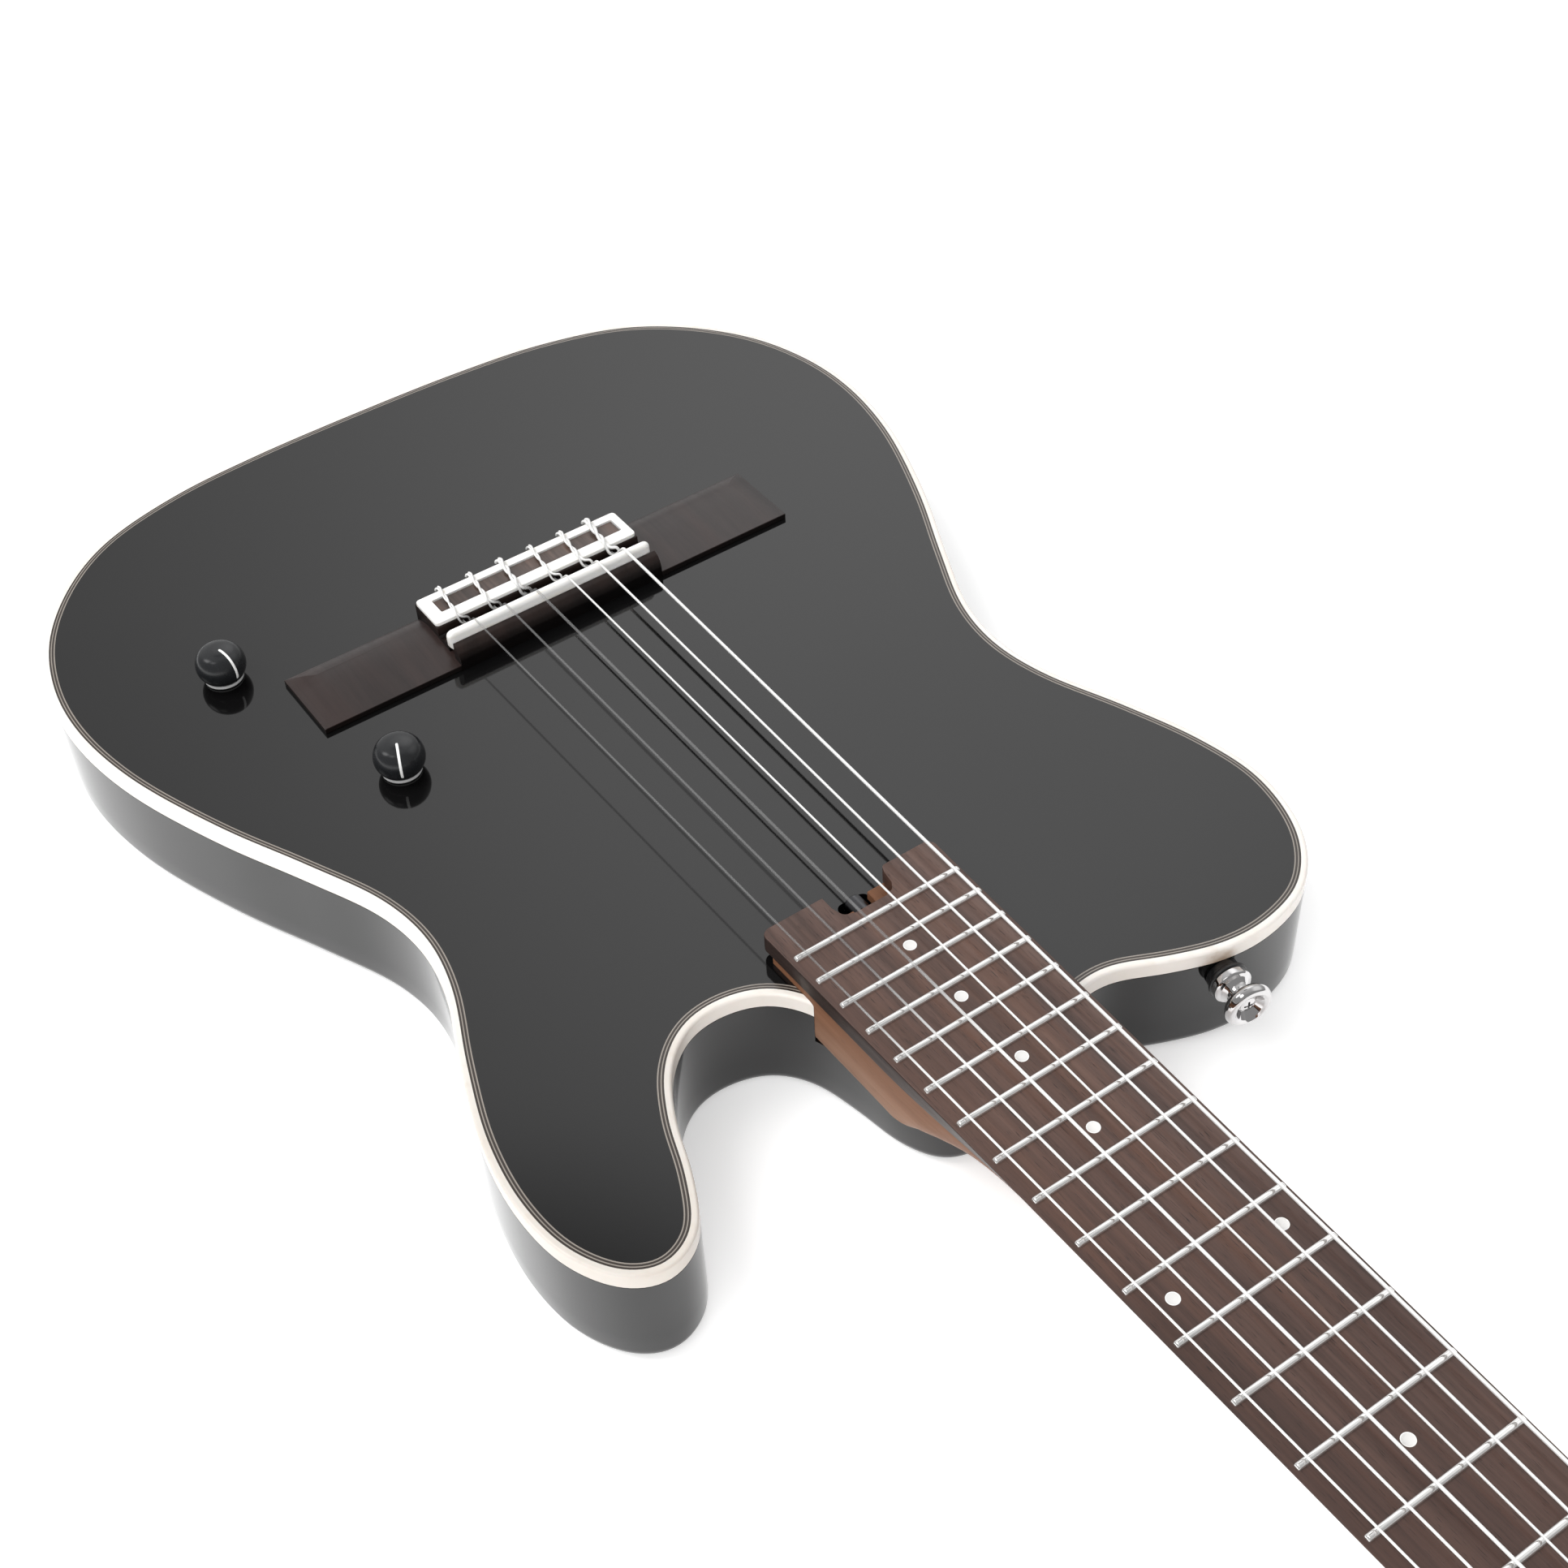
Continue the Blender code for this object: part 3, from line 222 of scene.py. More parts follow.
def wood(name, dark, mid, light, streak, rough=0.42, coat=0.0, grain=1.0, pore=1.0,
         shift=(0, 0, 0), turn=(0, 0, 0), coat_rough=0.06, red=0.25, clear=0.5, fine=1.0,
         fade=None, painted_shading_by_height=None):
    g = Graph(name, mid, specular_ior_level=clear)
    g.put("Coat Weight", coat)
    g.put("Coat Roughness", coat_rough)
    broad = g.noise(g.space((7 * grain, 85 * grain, 60 * grain), turn, shift), 1.0, 4.0, 0.55, 0.35)
    lines = g.noise(g.space((11 * grain, 420 * grain, 300 * grain), turn, shift), 1.0, 6.0, 0.62, 0.2)
    hair = g.noise(g.space((34 * grain, 1500 * grain, 900 * grain), turn, shift), 1.0, 3.0, 0.6)
    base = g.ramp(broad, (0.30, dark), (0.5, mid), (0.72, light))
    tone = g.ramp(lines, (0.28, 1 - 0.5 * fine), (0.5, 1 - 0.08 * fine), (0.72, 1 + 0.32 * fine))
    colour = g.mix(1.0, base, tone, "MULTIPLY")
    reddish = g.span(g.noise(g.space((5 * grain, 60 * grain, 40 * grain), turn,
                                     (shift[0] + 3.1, shift[1], shift[2])), 1.0, 3.0), 0.5, 0.72, 0, 1)
    colour = g.mix(g.sum(reddish, red, "MULTIPLY"), colour, streak)
    colour = g.mix(1.0, colour, g.ramp(hair, (0.3, 1 - 0.28 * fine), (0.55, 1 + 0.08 * fine)), "MULTIPLY")
    dashes = g.noise(g.space((150 * grain, 3600 * grain, 2400 * grain), turn, shift), 1.0, 1.0)
    holes = g.span(dashes, 0.66, 0.72, 0.0, pore)
    colour = g.mix(holes, colour, tuple(c * 0.35 for c in dark))
    if fade:
        # painted light: lighter near the body end; the tone deepens and warms along the length
        (x0, tint0), (x1, tint1) = fade
        along = g.span(g.axis_part("X"), x0 * MM, x1 * MM, 0.0, 1.0)
        colour = g.mix(1.0, colour, g.mix(along, tint0, tint1), "MULTIPLY")
    if painted_shading_by_height:
        # painted light and shade: a tint that changes with height
        (z0, tint0), (z1, tint1) = painted_shading_by_height
        up = g.span(g.axis_part("Z"), z0 * MM, z1 * MM, 0.0, 1.0)
        colour = g.mix(1.0, colour, g.mix(up, tint0, tint1), "MULTIPLY")
    g.put("Base Color", colour)
    g.put("Roughness", g.span(lines, 0.3, 0.7, rough + 0.08, rough - 0.06))
    height = g.sum(g.sum(lines, 0.4, "MULTIPLY"), g.sum(holes, 0.9, "MULTIPLY"), "SUBTRACT")
    g.put("Normal", g.bump(height, 0.30 if coat < 0.5 else 0.06, 0.00012))
    return g.mat


def metal(name, colour, rough=0.08, brushed=0.0, worn=0.06, axis=0, metallic=1.0):
    g = Graph(name, colour, metallic=metallic)
    spots = g.noise(g.space((1, 1, 1)), 160.0, 4.0, 0.6)
    g.put("Roughness", g.span(spots, 0.35, 0.8, rough, rough + worn))
    g.put("Base Color", g.mix(g.span(spots, 0.45, 0.8, 0, 0.6), colour,
                              tuple(c * 0.82 for c in colour)))
    if brushed:
        stretch = [2600, 2600, 2600]
        stretch[axis] = 60
        g.put("Normal", g.bump(g.noise(g.space(stretch), 1.0, 2.0), brushed, 0.00004))
    else:
        g.put("Normal", g.bump(g.noise(g.space((1, 1, 1)), 700.0, 2.0), 0.02, 0.0001))
    return g.mat


def plastic(name, colour, rough=0.3, grain=0.0, dust=0.0, ior=1.5):
    g = Graph(name, colour, ior=ior)
    cloud = g.noise(g.space((1, 1, 1)), 45.0, 4.0)
    scratch = g.noise(g.space((90, 1600, 1600), (0, 0, 0.8)), 1.0, 2.0)
    g.put("Roughness", g.sum(g.span(cloud, 0.3, 0.7, rough * 0.85, rough * 1.2),
                             g.span(scratch, 0.66, 0.74, 0.0, 0.05)))
    tone = g.mix(g.span(cloud, 0.35, 0.75, 0.0, 1.0), colour, tuple(c * 1.18 for c in colour))
    if dust:
        tone = g.mix(g.span(g.noise(g.space((1, 1, 1)), 2600.0, 1.0), 0.70, 0.76, 0.0, dust),
                     tone, (0.4, 0.4, 0.4))
    g.put("Base Color", tone)
    if grain:
        g.put("Normal", g.bump(g.noise(g.space((1, 1, 1)), 1500.0, 3.0), grain, 0.0002))
    return g.mat


def bone(name, colour, rough=0.28):
    g = Graph(name, colour, ior=1.5)
    streaks = g.noise(g.space((700, 40, 260)), 1.0, 4.0, 0.6, 0.4)
    pits = g.noise(g.space((2200, 400, 2200)), 1.0, 2.0)
    tone = g.mix(g.span(streaks, 0.45, 0.8, 0, 0.55), colour,
                 (colour[0] * 0.93, colour[1] * 0.88, colour[2] * 0.76))
    tone = g.mix(g.span(pits, 0.68, 0.75, 0, 0.35), tone, (0.45, 0.36, 0.26))
    g.put("Base Color", tone)
    g.put("Subsurface Weight", 0.08)
    g.put("Subsurface Radius", (0.9, 0.7, 0.5))
    g.put("Subsurface Scale", 0.001)
    g.put("Roughness", g.span(streaks, 0.3, 0.7, rough, rough + 0.12))
    g.put("Normal", g.bump(streaks, 0.04, 0.0001))
    return g.mat


def cream(name):
    """Cream edge binding, mellowed in patches, with painted tan shade over the strap button."""
    base, warm = (0.80, 0.765, 0.728), (0.765, 0.712, 0.655)
    g = Graph(name, base, ior=1.5)
    cloud = g.noise(g.space((1, 1, 1.4)), 26.0, 5.0, 0.55)
    fine = g.noise(g.space((1, 1, 1)), 260.0, 3.0)
    tone = g.mix(g.span(cloud, 0.35, 0.72, 0.0, 0.9), base, warm)
    tone = g.mix(g.span(fine, 0.5, 0.8, 0.0, 0.25), tone, (0.62, 0.54, 0.44))
    # The sides have yellowed a little more than the top edge.
    tone = g.mix(g.span(g.axis_part("Z"), 0.0408, 0.0416, 0.55, 0.0), tone, warm)
    # Painted shade: the binding round the horn and the cutaway is drawn a shade darker.
    horn_painted_shade = g.sum(g.span(g.axis_part("X"), 0.10, 0.19, 0.0, 1.0),
                   g.span(g.axis_part("Y"), -0.080, -0.045, 1.0, 0.0), "MULTIPLY")
    tone = g.mix(horn_painted_shade, tone, g.mix(1.0, tone, (0.78, 0.765, 0.745), "MULTIPLY"))
    # Painted shade: a tan-brown darkening on the binding just above the strap pad.
    far = g.away((249.0, 77.5, 35.2))
    strap_painted_shade = g.sum(far, g.span(g.noise(g.space((1, 1, 1)), 200.0, 4.0), 0.2, 0.8, -0.0018, 0.0018), "ADD")
    tone = g.mix(g.span(strap_painted_shade, 0.0020, 0.0085, 0.85, 0.0), tone, (0.42, 0.29, 0.19))
    g.put("Base Color", tone)
    g.put("Roughness", g.span(fine, 0.3, 0.7, 0.16, 0.26))
    g.put("Subsurface Weight", 0.05)
    g.put("Subsurface Scale", 0.0012)
    g.put("Normal", g.bump(fine, 0.02, 0.0002))
    return g.mat


def nylon(name):
    g = Graph(name, (0.50, 0.50, 0.50), ior=1.53, alpha=0.5)
    haze = g.noise(g.space((300, 2000, 2000)), 1.0, 2.0)
    along = g.axis_part("X")
    g.put("Roughness", g.span(haze, 0.3, 0.7, 0.16, 0.26))
    # Painted light: the clear strings are drawn whiter and more opaque over the fretboard and over the tie block, where
    # they look bright.
    tie_painted_light = g.span(along, -0.016, -0.010, 0.62, 0.0)
    g.put("Alpha", g.sum(g.span(along, 0.192, 0.252, 0.25, 0.84), tie_painted_light))
    painted_light_tone = g.mix(g.span(along, 0.192, 0.252, 0.0, 1.0), (0.26, 0.26, 0.26), (0.90, 0.90, 0.89))
    painted_light_tone = g.mix(g.span(along, -0.016, -0.010, 1.0, 0.0), painted_light_tone, (0.90, 0.895, 0.885))
    g.put("Base Color", g.mix(g.span(haze, 0.4, 0.8, 0.0, 0.22), painted_light_tone, (0.30, 0.30, 0.30)))
    return g.mat


def wound(name):
    """Silver-plated wire wound on a core: fine rings across the length."""
    g = Graph(name, (0.92, 0.92, 0.91), metallic=0.45)
    rings = g.waves(g.space((1, 1, 1)), 700.0, 0.0, "X")
    tarnish = g.noise(g.space((60, 900, 900)), 1.0, 4.0)
    g.put("Base Color", g.mix(g.span(tarnish, 0.45, 0.8, 0, 0.6), (0.93, 0.93, 0.92), (0.76, 0.75, 0.72)))
    g.put("Roughness", g.span(tarnish, 0.3, 0.7, 0.34, 0.46))
    g.put("Normal", g.bump(rings, 0.25, 0.00003))
    return g.mat


LACQUER = lacquer("black_lacquer")
LACQUER_SIDE = lacquer("black_lacquer_side", (0.0036, 0.0035, 0.0036), 0.07)
CREAM = cream("cream_plastic")
LINE_DARK = plastic("purfling_dark", (0.030, 0.023, 0.019), 0.16)
LINE_PALE = plastic("purfling_pale", (0.235, 0.208, 0.182), 0.16)
# Painted light: the board is drawn lighter near the body end and darker towards the headstock.
BOARD_WOOD = wood("rosewood_board", (0.046, 0.027, 0.0215), (0.078, 0.046, 0.036),
                  (0.104, 0.064, 0.050), (0.128, 0.064, 0.039), rough=0.40, red=0.4, clear=0.5,
                  grain=1.1, fine=0.55, fade=((180.0, (1.13, 1.04, 1.02)), (420.0, (0.80, 0.70, 0.68))))
# Painted shade: the board's sides are drawn darker than its top.
BOARD_SIDE = wood("rosewood_board_side", (0.022, 0.0135, 0.0115), (0.032, 0.0205, 0.0172),
                  (0.042, 0.027, 0.022), (0.050, 0.027, 0.019), rough=0.44, red=0.3, clear=0.22,
                  grain=1.1, fine=0.4, coat=0.12, coat_rough=0.2)
# Painted shade: the wings' low front edge, below 43.65 mm, is drawn dark.
BRIDGE_WOOD = wood("rosewood_bridge", (0.0135, 0.0084, 0.0078), (0.0185, 0.0114, 0.0104),
                   (0.025, 0.0142, 0.0124), (0.034, 0.0150, 0.0118), rough=0.5, coat=0.8,
                   turn=(0, 0, math.pi / 2), coat_rough=0.30, red=0.35, pore=0.2, clear=0.1, fine=0.4,
                   painted_shading_by_height=((43.65, (0.30, 0.34, 0.35)), (44.15, (1.0, 1.0, 1.0))))
# Painted shade: the tie block is drawn near-black low on its front and lighter towards the top.
BLOCK_WOOD = wood("rosewood_tie_block", (0.0190, 0.0116, 0.0100), (0.0280, 0.0172, 0.0146),
                  (0.037, 0.0215, 0.0180), (0.044, 0.0200, 0.0150), rough=0.45, coat=0.45,
                  turn=(0, 0, math.pi / 2), coat_rough=0.26, red=0.25, pore=0.2, clear=0.1, fine=0.35,
                  painted_shading_by_height=((45.3, (0.09, 0.10, 0.11)), (51.2, (0.66, 0.66, 0.66))))
INLAY_WOOD = wood("rosewood_tie_strip", (0.030, 0.018, 0.014), (0.060, 0.036, 0.027),
                  (0.10, 0.055, 0.04), (0.13, 0.06, 0.04), rough=0.35, coat=0.3,
                  turn=(0, 0, math.pi / 2), grain=1.5)
# Painted light and shade: the mahogany is drawn paler and cooler low on the heel and neck back, and darker up under the
# board.
HEEL_WOOD = wood("mahogany", (0.17, 0.078, 0.043), (0.235, 0.112, 0.064), (0.29, 0.142, 0.083),
                 (0.30, 0.122, 0.062), rough=0.52, coat=0.0, red=0.3, pore=0.25, clear=0.22,
                 grain=0.8, fine=0.2, painted_shading_by_height=((27.0, (1.06, 1.20, 1.30)), (43.5, (0.74, 0.71, 0.66))))
VENEER_WOOD = wood("rosewood_veneer", (0.020, 0.0125, 0.0105), (0.045, 0.028, 0.022),
                   (0.080, 0.046, 0.034), (0.12, 0.055, 0.035), rough=0.3, coat=0.6,
                   shift=(1.3, 0.4, 0.2))
BONE = bone("bone_white", (0.93, 0.92, 0.90), 0.22)
INLAY_WHITE = bone("inlay_white", (0.86, 0.855, 0.84), 0.2)
NUT_BONE = bone("nut_bone", (0.78, 0.745, 0.66), 0.3)
NICKEL = metal("fret_wire", (0.95, 0.94, 0.925), 0.05, 0.02, 0.06, 1, metallic=0.88)
CHROME = metal("chrome", (0.60, 0.59, 0.59), 0.04, 0.0, 0.04)
SATIN = metal("satin_chrome", (0.60, 0.60, 0.60), 0.32, 0.0, 0.2)
SATIN.node_tree.nodes["Principled BSDF"].inputs["Metallic"].default_value = 0.45
STEEL = metal("steel", (0.50, 0.50, 0.49), 0.30, 0.3, 0.15)
GUNMETAL = metal("gunmetal", (0.10, 0.10, 0.105), 0.28, 0.0, 0.15)
BRASS = metal("gear_brass", (0.72, 0.55, 0.28), 0.25, 0.0, 0.15)
NYLON = nylon("clear_nylon")
WOUND = wound("wound_silver")
KNOB_BLACK = plastic("knob_black", (0.0100, 0.0107, 0.0120), 0.24)
POINTER = plastic("pointer_white", (0.80, 0.80, 0.79), 0.3)
DOT_WHITE = plastic("dot_white", (0.66, 0.65, 0.635), 0.28)
MATT_BLACK = plastic("cover_black", (0.018, 0.018, 0.019), 0.42, 0.35)
RUBBER = plastic("washer_rubber", (0.006, 0.006, 0.0065), 0.33, 0.05)
CIRCUIT = plastic("circuit_green", (0.012, 0.10, 0.035), 0.35, 0.05)
SHELL = plastic("battery_shell", (0.035, 0.036, 0.042), 0.3, 0.1)
PICKUP = metal("pickup_braid", (0.55, 0.52, 0.44), 0.35, 0.4, 0.1)


# ================================================================ mesh tools
def mesh_object(name, verts, faces, looks=None, which=None, smooth=35.0, turn_out=True):
    mesh = bpy.data.meshes.new(name)
    mesh.from_pydata([tuple(float(c) * MM for c in v) for v in verts], [], faces)
    if which is not None:
        mesh.polygons.foreach_set("material_index", which)
    if turn_out:
        work = bmesh.new()
        work.from_mesh(mesh)
        bmesh.ops.recalc_face_normals(work, faces=work.faces)
        work.to_mesh(mesh)
        work.free()
    obj = bpy.data.objects.new(name, mesh)
    scene.collection.objects.link(obj)
    if looks is not None:
        dress(obj, looks, smooth)
    return obj


def dress(obj, looks, smooth=35.0):
    if not isinstance(looks, (list, tuple)):
        looks = [looks]
    keep = [p.material_index for p in obj.data.polygons]
    obj.data.materials.clear()
    for look in looks:
        obj.data.materials.append(look)
    if len(looks) > 1:
        obj.data.polygons.foreach_set("material_index", [min(k, len(looks) - 1) for k in keep])
    else:
        obj.data.polygons.foreach_set("material_index", [0] * len(keep))
    if smooth is not None:
        obj.data.polygons.foreach_set("use_smooth", [True] * len(obj.data.polygons))
        obj.data.set_sharp_from_angle(angle=math.radians(smooth))
    return obj


def loft(name, rings, looks=None, smooth=35.0, closed=False, which=None):
    n = len(rings[0])
    verts = [v for ring in rings for v in ring]
    faces, marks = [], []
    count = len(rings)
    for i in range(count if closed else count - 1):
        a, b = i * n, ((i + 1) % count) * n
        for j in range(n):
            k = (j + 1) % n
            faces.append((a + j, a + k, b + k, b + j))
            marks.append(which[i] if which else 0)
    if not closed:
        faces.append(tuple(reversed(range(n))))
        faces.append(tuple((count - 1) * n + j for j in range(n)))
        marks += [which[0] if which else 0, which[-1] if which else 0]
    return mesh_object(name, verts, faces, looks, marks if which else None, smooth)


def frame_at(origin, axis, side=(0.0, 0.0, 1.0)):
    w = Vector(axis).normalized()
    u = Vector(side) - w * w.dot(Vector(side))
    if u.length < 1e-6:
        u = Vector((1.0, 0.0, 0.0)) - w * w.x
    u.normalize()
    v = w.cross(u)
    o = Vector(origin)
    return lambda a, b, c: o + u * a + v * b + w * c


def lathe(name, profile, origin, axis, count=48, looks=None, smooth=35.0, side=(0, 0, 1),
          which=None, wobble=None):
    place = frame_at(origin, axis, side)
    verts, rings = [], []
    for r, h in profile:
        if r < 1e-6:
            rings.append([len(verts)])
            verts.append(place(0, 0, h))
        else:
            rings.append(list(range(len(verts), len(verts) + count)))
            for i in range(count):
                a = 2 * math.pi * i / count
                rr = r * (wobble(a, h) if wobble else 1.0)
                verts.append(place(rr * math.cos(a), rr * math.sin(a), h))
    faces, marks = [], []
    for s, (low, high) in enumerate(zip(rings, rings[1:])):
        for i in range(count):
            j = (i + 1) % count
            if len(low) == 1:
                faces.append((low[0], high[i], high[j]))
            elif len(high) == 1:
                faces.append((low[i], low[j], high[0]))
            else:
                faces.append((low[i], low[j], high[j], high[i]))
            marks.append(which[s] if which else 0)
    if len(rings[0]) > 1:
        faces.append(tuple(reversed(rings[0])))
        marks.append(which[0] if which else 0)
    if len(rings[-1]) > 1:
        faces.append(tuple(rings[-1]))
        marks.append(which[-1] if which else 0)
    return mesh_object(name, verts, faces, looks, marks if which else None, smooth)


def rounded(points, radius, steps=4):
    """A profile with each listed corner turned into an arc. Points are (r, h, radius?)."""
    out = []
    n = len(points)
    for i, p in enumerate(points):
        rad = p[2] if len(p) > 2 else radius
        if i in (0, n - 1) or rad <= 0:
            out.append((p[0], p[1]))
            continue
        a, b, c = (np.array(q[:2], float) for q in (points[i - 1], p, points[i + 1]))
        u, v = a - b, c - b
        lu, lv = np.linalg.norm(u), np.linalg.norm(v)
        u, v = u / lu, v / lv
        cosine = float(np.clip(u @ v, -0.9999, 0.9999))
        half = math.acos(cosine) / 2
        reach = min(rad / math.tan(half), lu * 0.48, lv * 0.48)
        p0, p1 = b + u * reach, b + v * reach
        for k in range(steps + 1):
            t = k / steps
            q = p0 * (1 - t) ** 2 + b * 2 * t * (1 - t) + p1 * t**2
            out.append((float(q[0]), float(q[1])))
    return out


def round_loop(points, radius, steps=4):
    """A closed plan with its corners rounded; a point may carry its own radius."""
    n = len(points)
    out = []
    for i in range(n):
        part = rounded([points[i - 1][:2], points[i], points[(i + 1) % n][:2]], radius, steps)
        out += part[1:-1]
    return out


def prism(name, points, z0, z1, looks=None, smooth=35.0, slope=0.0, x_ref=0.0):
    drop = [-(x - x_ref) * slope for x, _ in points]
    low = [(x, y, z0 + d) for (x, y), d in zip(points, drop)]
    high = [(x, y, z1 + d) for (x, y), d in zip(points, drop)]
    return loft(name, [low, high], looks, smooth)


def plate(name, points, z0, z1, edge, looks=None, smooth=40.0, steps=3, both=False,
          slope=0.0, x_ref=0.0):
    """A flat plate over a plan, with its top edge rounded, and its bottom edge too if both."""
    pts = np.array(points, float)
    area = 0.5 * float(np.sum(pts[:, 0] * np.roll(pts[:, 1], -1) - np.roll(pts[:, 0], -1) * pts[:, 1]))
    sign = 1.0 if area > 0 else -1.0
    rings = []

    def ring(d, z):
        p = inset(d * sign, pts)
        rings.append([(x, y, z - (x - x_ref) * slope) for x, y in p])

    if both:
        for k in range(steps + 1):
            a = math.pi / 2 * k / steps
            ring(edge * (1 - math.sin(a)), z0 + edge * (1 - math.cos(a)))
    else:
        ring(0.0, z0)
    for k in range(steps + 1):
        a = math.pi / 2 * k / steps
        ring(edge * (1 - math.cos(a)), z1 - edge * (1 - math.sin(a)))
    return loft(name, rings, looks, smooth)


def bar(name, x0, x1, y0, y1, z0, z1, looks=None):
    return prism(name, [(x0, y0), (x1, y0), (x1, y1), (x0, y1)], z0, z1, looks)


def smooth_path(points, per=6):
    """Centripetal spline through 3-D points."""
    p = [np.array(q, float) for q in points]
    p = [2 * p[0] - p[1]] + p + [2 * p[-1] - p[-2]]
    out = []
    for i in range(1, len(p) - 2):
        p0, p1, p2, p3 = p[i - 1:i + 3]
        d1, d2, d3 = (max(np.linalg.norm(b - a), 1e-6) ** 0.5 for a, b in ((p0, p1), (p1, p2), (p2, p3)))
        m1 = ((p1 - p0) / d1 - (p2 - p0) / (d1 + d2) + (p2 - p1) / d2) * d2
        m2 = ((p2 - p1) / d2 - (p3 - p1) / (d2 + d3) + (p3 - p2) / d3) * d2
        for k in range(per):
            t = k / per
            out.append(p1 * (2 * t**3 - 3 * t**2 + 1) + m1 * (t**3 - 2 * t**2 + t)
                       + p2 * (-2 * t**3 + 3 * t**2) + m2 * (t**3 - t**2))
    out.append(p[-2])
    return out


def tube(name, path, radius, sides=10, looks=None, smooth=60.0, cap=True):
    pts = [Vector(p) for p in path]
    rings, normal = [], None
    sizes = [radius(i / (len(pts) - 1)) if callable(radius) else radius for i in range(len(pts))]
    if cap:  # a short rounded nose at each end
        d0, d1 = (pts[0] - pts[1]).normalized(), (pts[-1] - pts[-2]).normalized()
        pts = [pts[0] + d0 * sizes[0] * 0.5] + pts + [pts[-1] + d1 * sizes[-1] * 0.5]
        sizes = [sizes[0] * 0.45] + sizes + [sizes[-1] * 0.45]
    for i, p in enumerate(pts):
        ahead = pts[min(i + 1, len(pts) - 1)] - pts[max(i - 1, 0)]
        ahead.normalize()
        if normal is None:
            normal = ahead.orthogonal().normalized()
        else:
            normal = (normal - ahead * ahead.dot(normal)).normalized()
        other = ahead.cross(normal)
        rings.append([p + (normal * math.cos(2 * math.pi * k / sides)
                           + other * math.sin(2 * math.pi * k / sides)) * sizes[i]
                      for k in range(sides)])
    return loft(name, rings, looks, smooth)


def combine(target, others, operation="DIFFERENCE"):
    for other in others:
        mod = target.modifiers.new("shape", "BOOLEAN")
        mod.operation = operation
        mod.solver = "EXACT"
        mod.object = other
        bpy.context.view_layer.update()
        graph = bpy.context.evaluated_depsgraph_get()
        made = bpy.data.meshes.new_from_object(target.evaluated_get(graph))
        target.modifiers.clear()
        target.data = made
        bpy.data.objects.remove(other, do_unlink=True)
    work = bmesh.new()
    work.from_mesh(target.data)
    bmesh.ops.remove_doubles(work, verts=work.verts, dist=1e-6)
    bmesh.ops.dissolve_degenerate(work, edges=work.edges, dist=1e-7)
    work.to_mesh(target.data)
    work.free()
    return target


def islands(name, objs):
    """Several meshes as one object, material indices kept."""
    verts, faces, marks = [], [], []
    for obj in objs:
        base = len(verts)
        verts += [v.co / MM for v in obj.data.vertices]
        faces += [tuple(base + i for i in p.vertices) for p in obj.data.polygons]
        marks += [p.material_index for p in obj.data.polygons]
        bpy.data.objects.remove(obj, do_unlink=True)
    return mesh_object(name, verts, faces, None, marks)


def soften(obj, width, segments=2, angle=30.0):
    """Rounded edges, applied to the mesh."""
    mod = obj.modifiers.new("edge", "BEVEL")
    mod.width = width * MM
    mod.segments = segments
    mod.limit_method = "ANGLE"
    mod.angle_limit = math.radians(angle)
    mod.harden_normals = False
    bpy.context.view_layer.update()
    graph = bpy.context.evaluated_depsgraph_get()
    made = bpy.data.meshes.new_from_object(obj.evaluated_get(graph))
    obj.modifiers.clear()
    obj.data = made
    return obj


def put(obj, body, nodes=()):
    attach(obj, body)
    if nodes:
        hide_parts(*([nodes] if isinstance(nodes, str) else nodes))
    return obj


def capsule(ax, ay, bx, by, r, n=20):
    turn = math.atan2(by - ay, bx - ax)
    out = []
    for cx, cy, start in ((bx, by, turn - math.pi / 2), (ax, ay, turn + math.pi / 2)):
        for i in range(n + 1):
            a = start + math.pi * i / n
            out.append((cx + r * math.cos(a), cy + r * math.sin(a)))
    return out


def round_rect(x0, x1, y0, y1, r, n=6):
    out = []
    for cx, cy, start in ((x1 - r, y0 + r, -90), (x1 - r, y1 - r, 0),
                          (x0 + r, y1 - r, 90), (x0 + r, y0 + r, 180)):
        for i in range(n + 1):
            a = math.radians(start + 90 * i / n)
            out.append((cx + r * math.cos(a), cy + r * math.sin(a)))
    return out


# ---------------------------------------------------------------- body outline
TREBLE = [
    (-158.4, 0), (-157.4, -45), (-153.6, -80), (-143.5, -112), (-128, -133),
    (-104, -151), (-78, -160), (-52, -162), (-20, -157), (20, -142.7),
    (52, -127.7), (80, -115.7), (101, -112.6), (122, -115.9), (150, -126.6),
    (178, -135.5),
]
HORN = [
    (203, -138.4), (224, -135.3), (239, -126), (243.8, -115), (238.5, -102.5),
    (222, -93.2), (203, -86.5), (187, -77.3), (178.3, -66), (176.6, -54),
    (181, -40.6), (191.5, -32.2),
]
SHOULDER = [
    (208, -27.8), (226, -24.3), (238, -16.8), (241.6, -3), (239.5, 17),
    (235.2, 36), (235.6, 46), (243, 62), (249.2, 79.5), (250.2, 96),
    (244.8, 115), (229, 130.3), (203, 138.2),
]


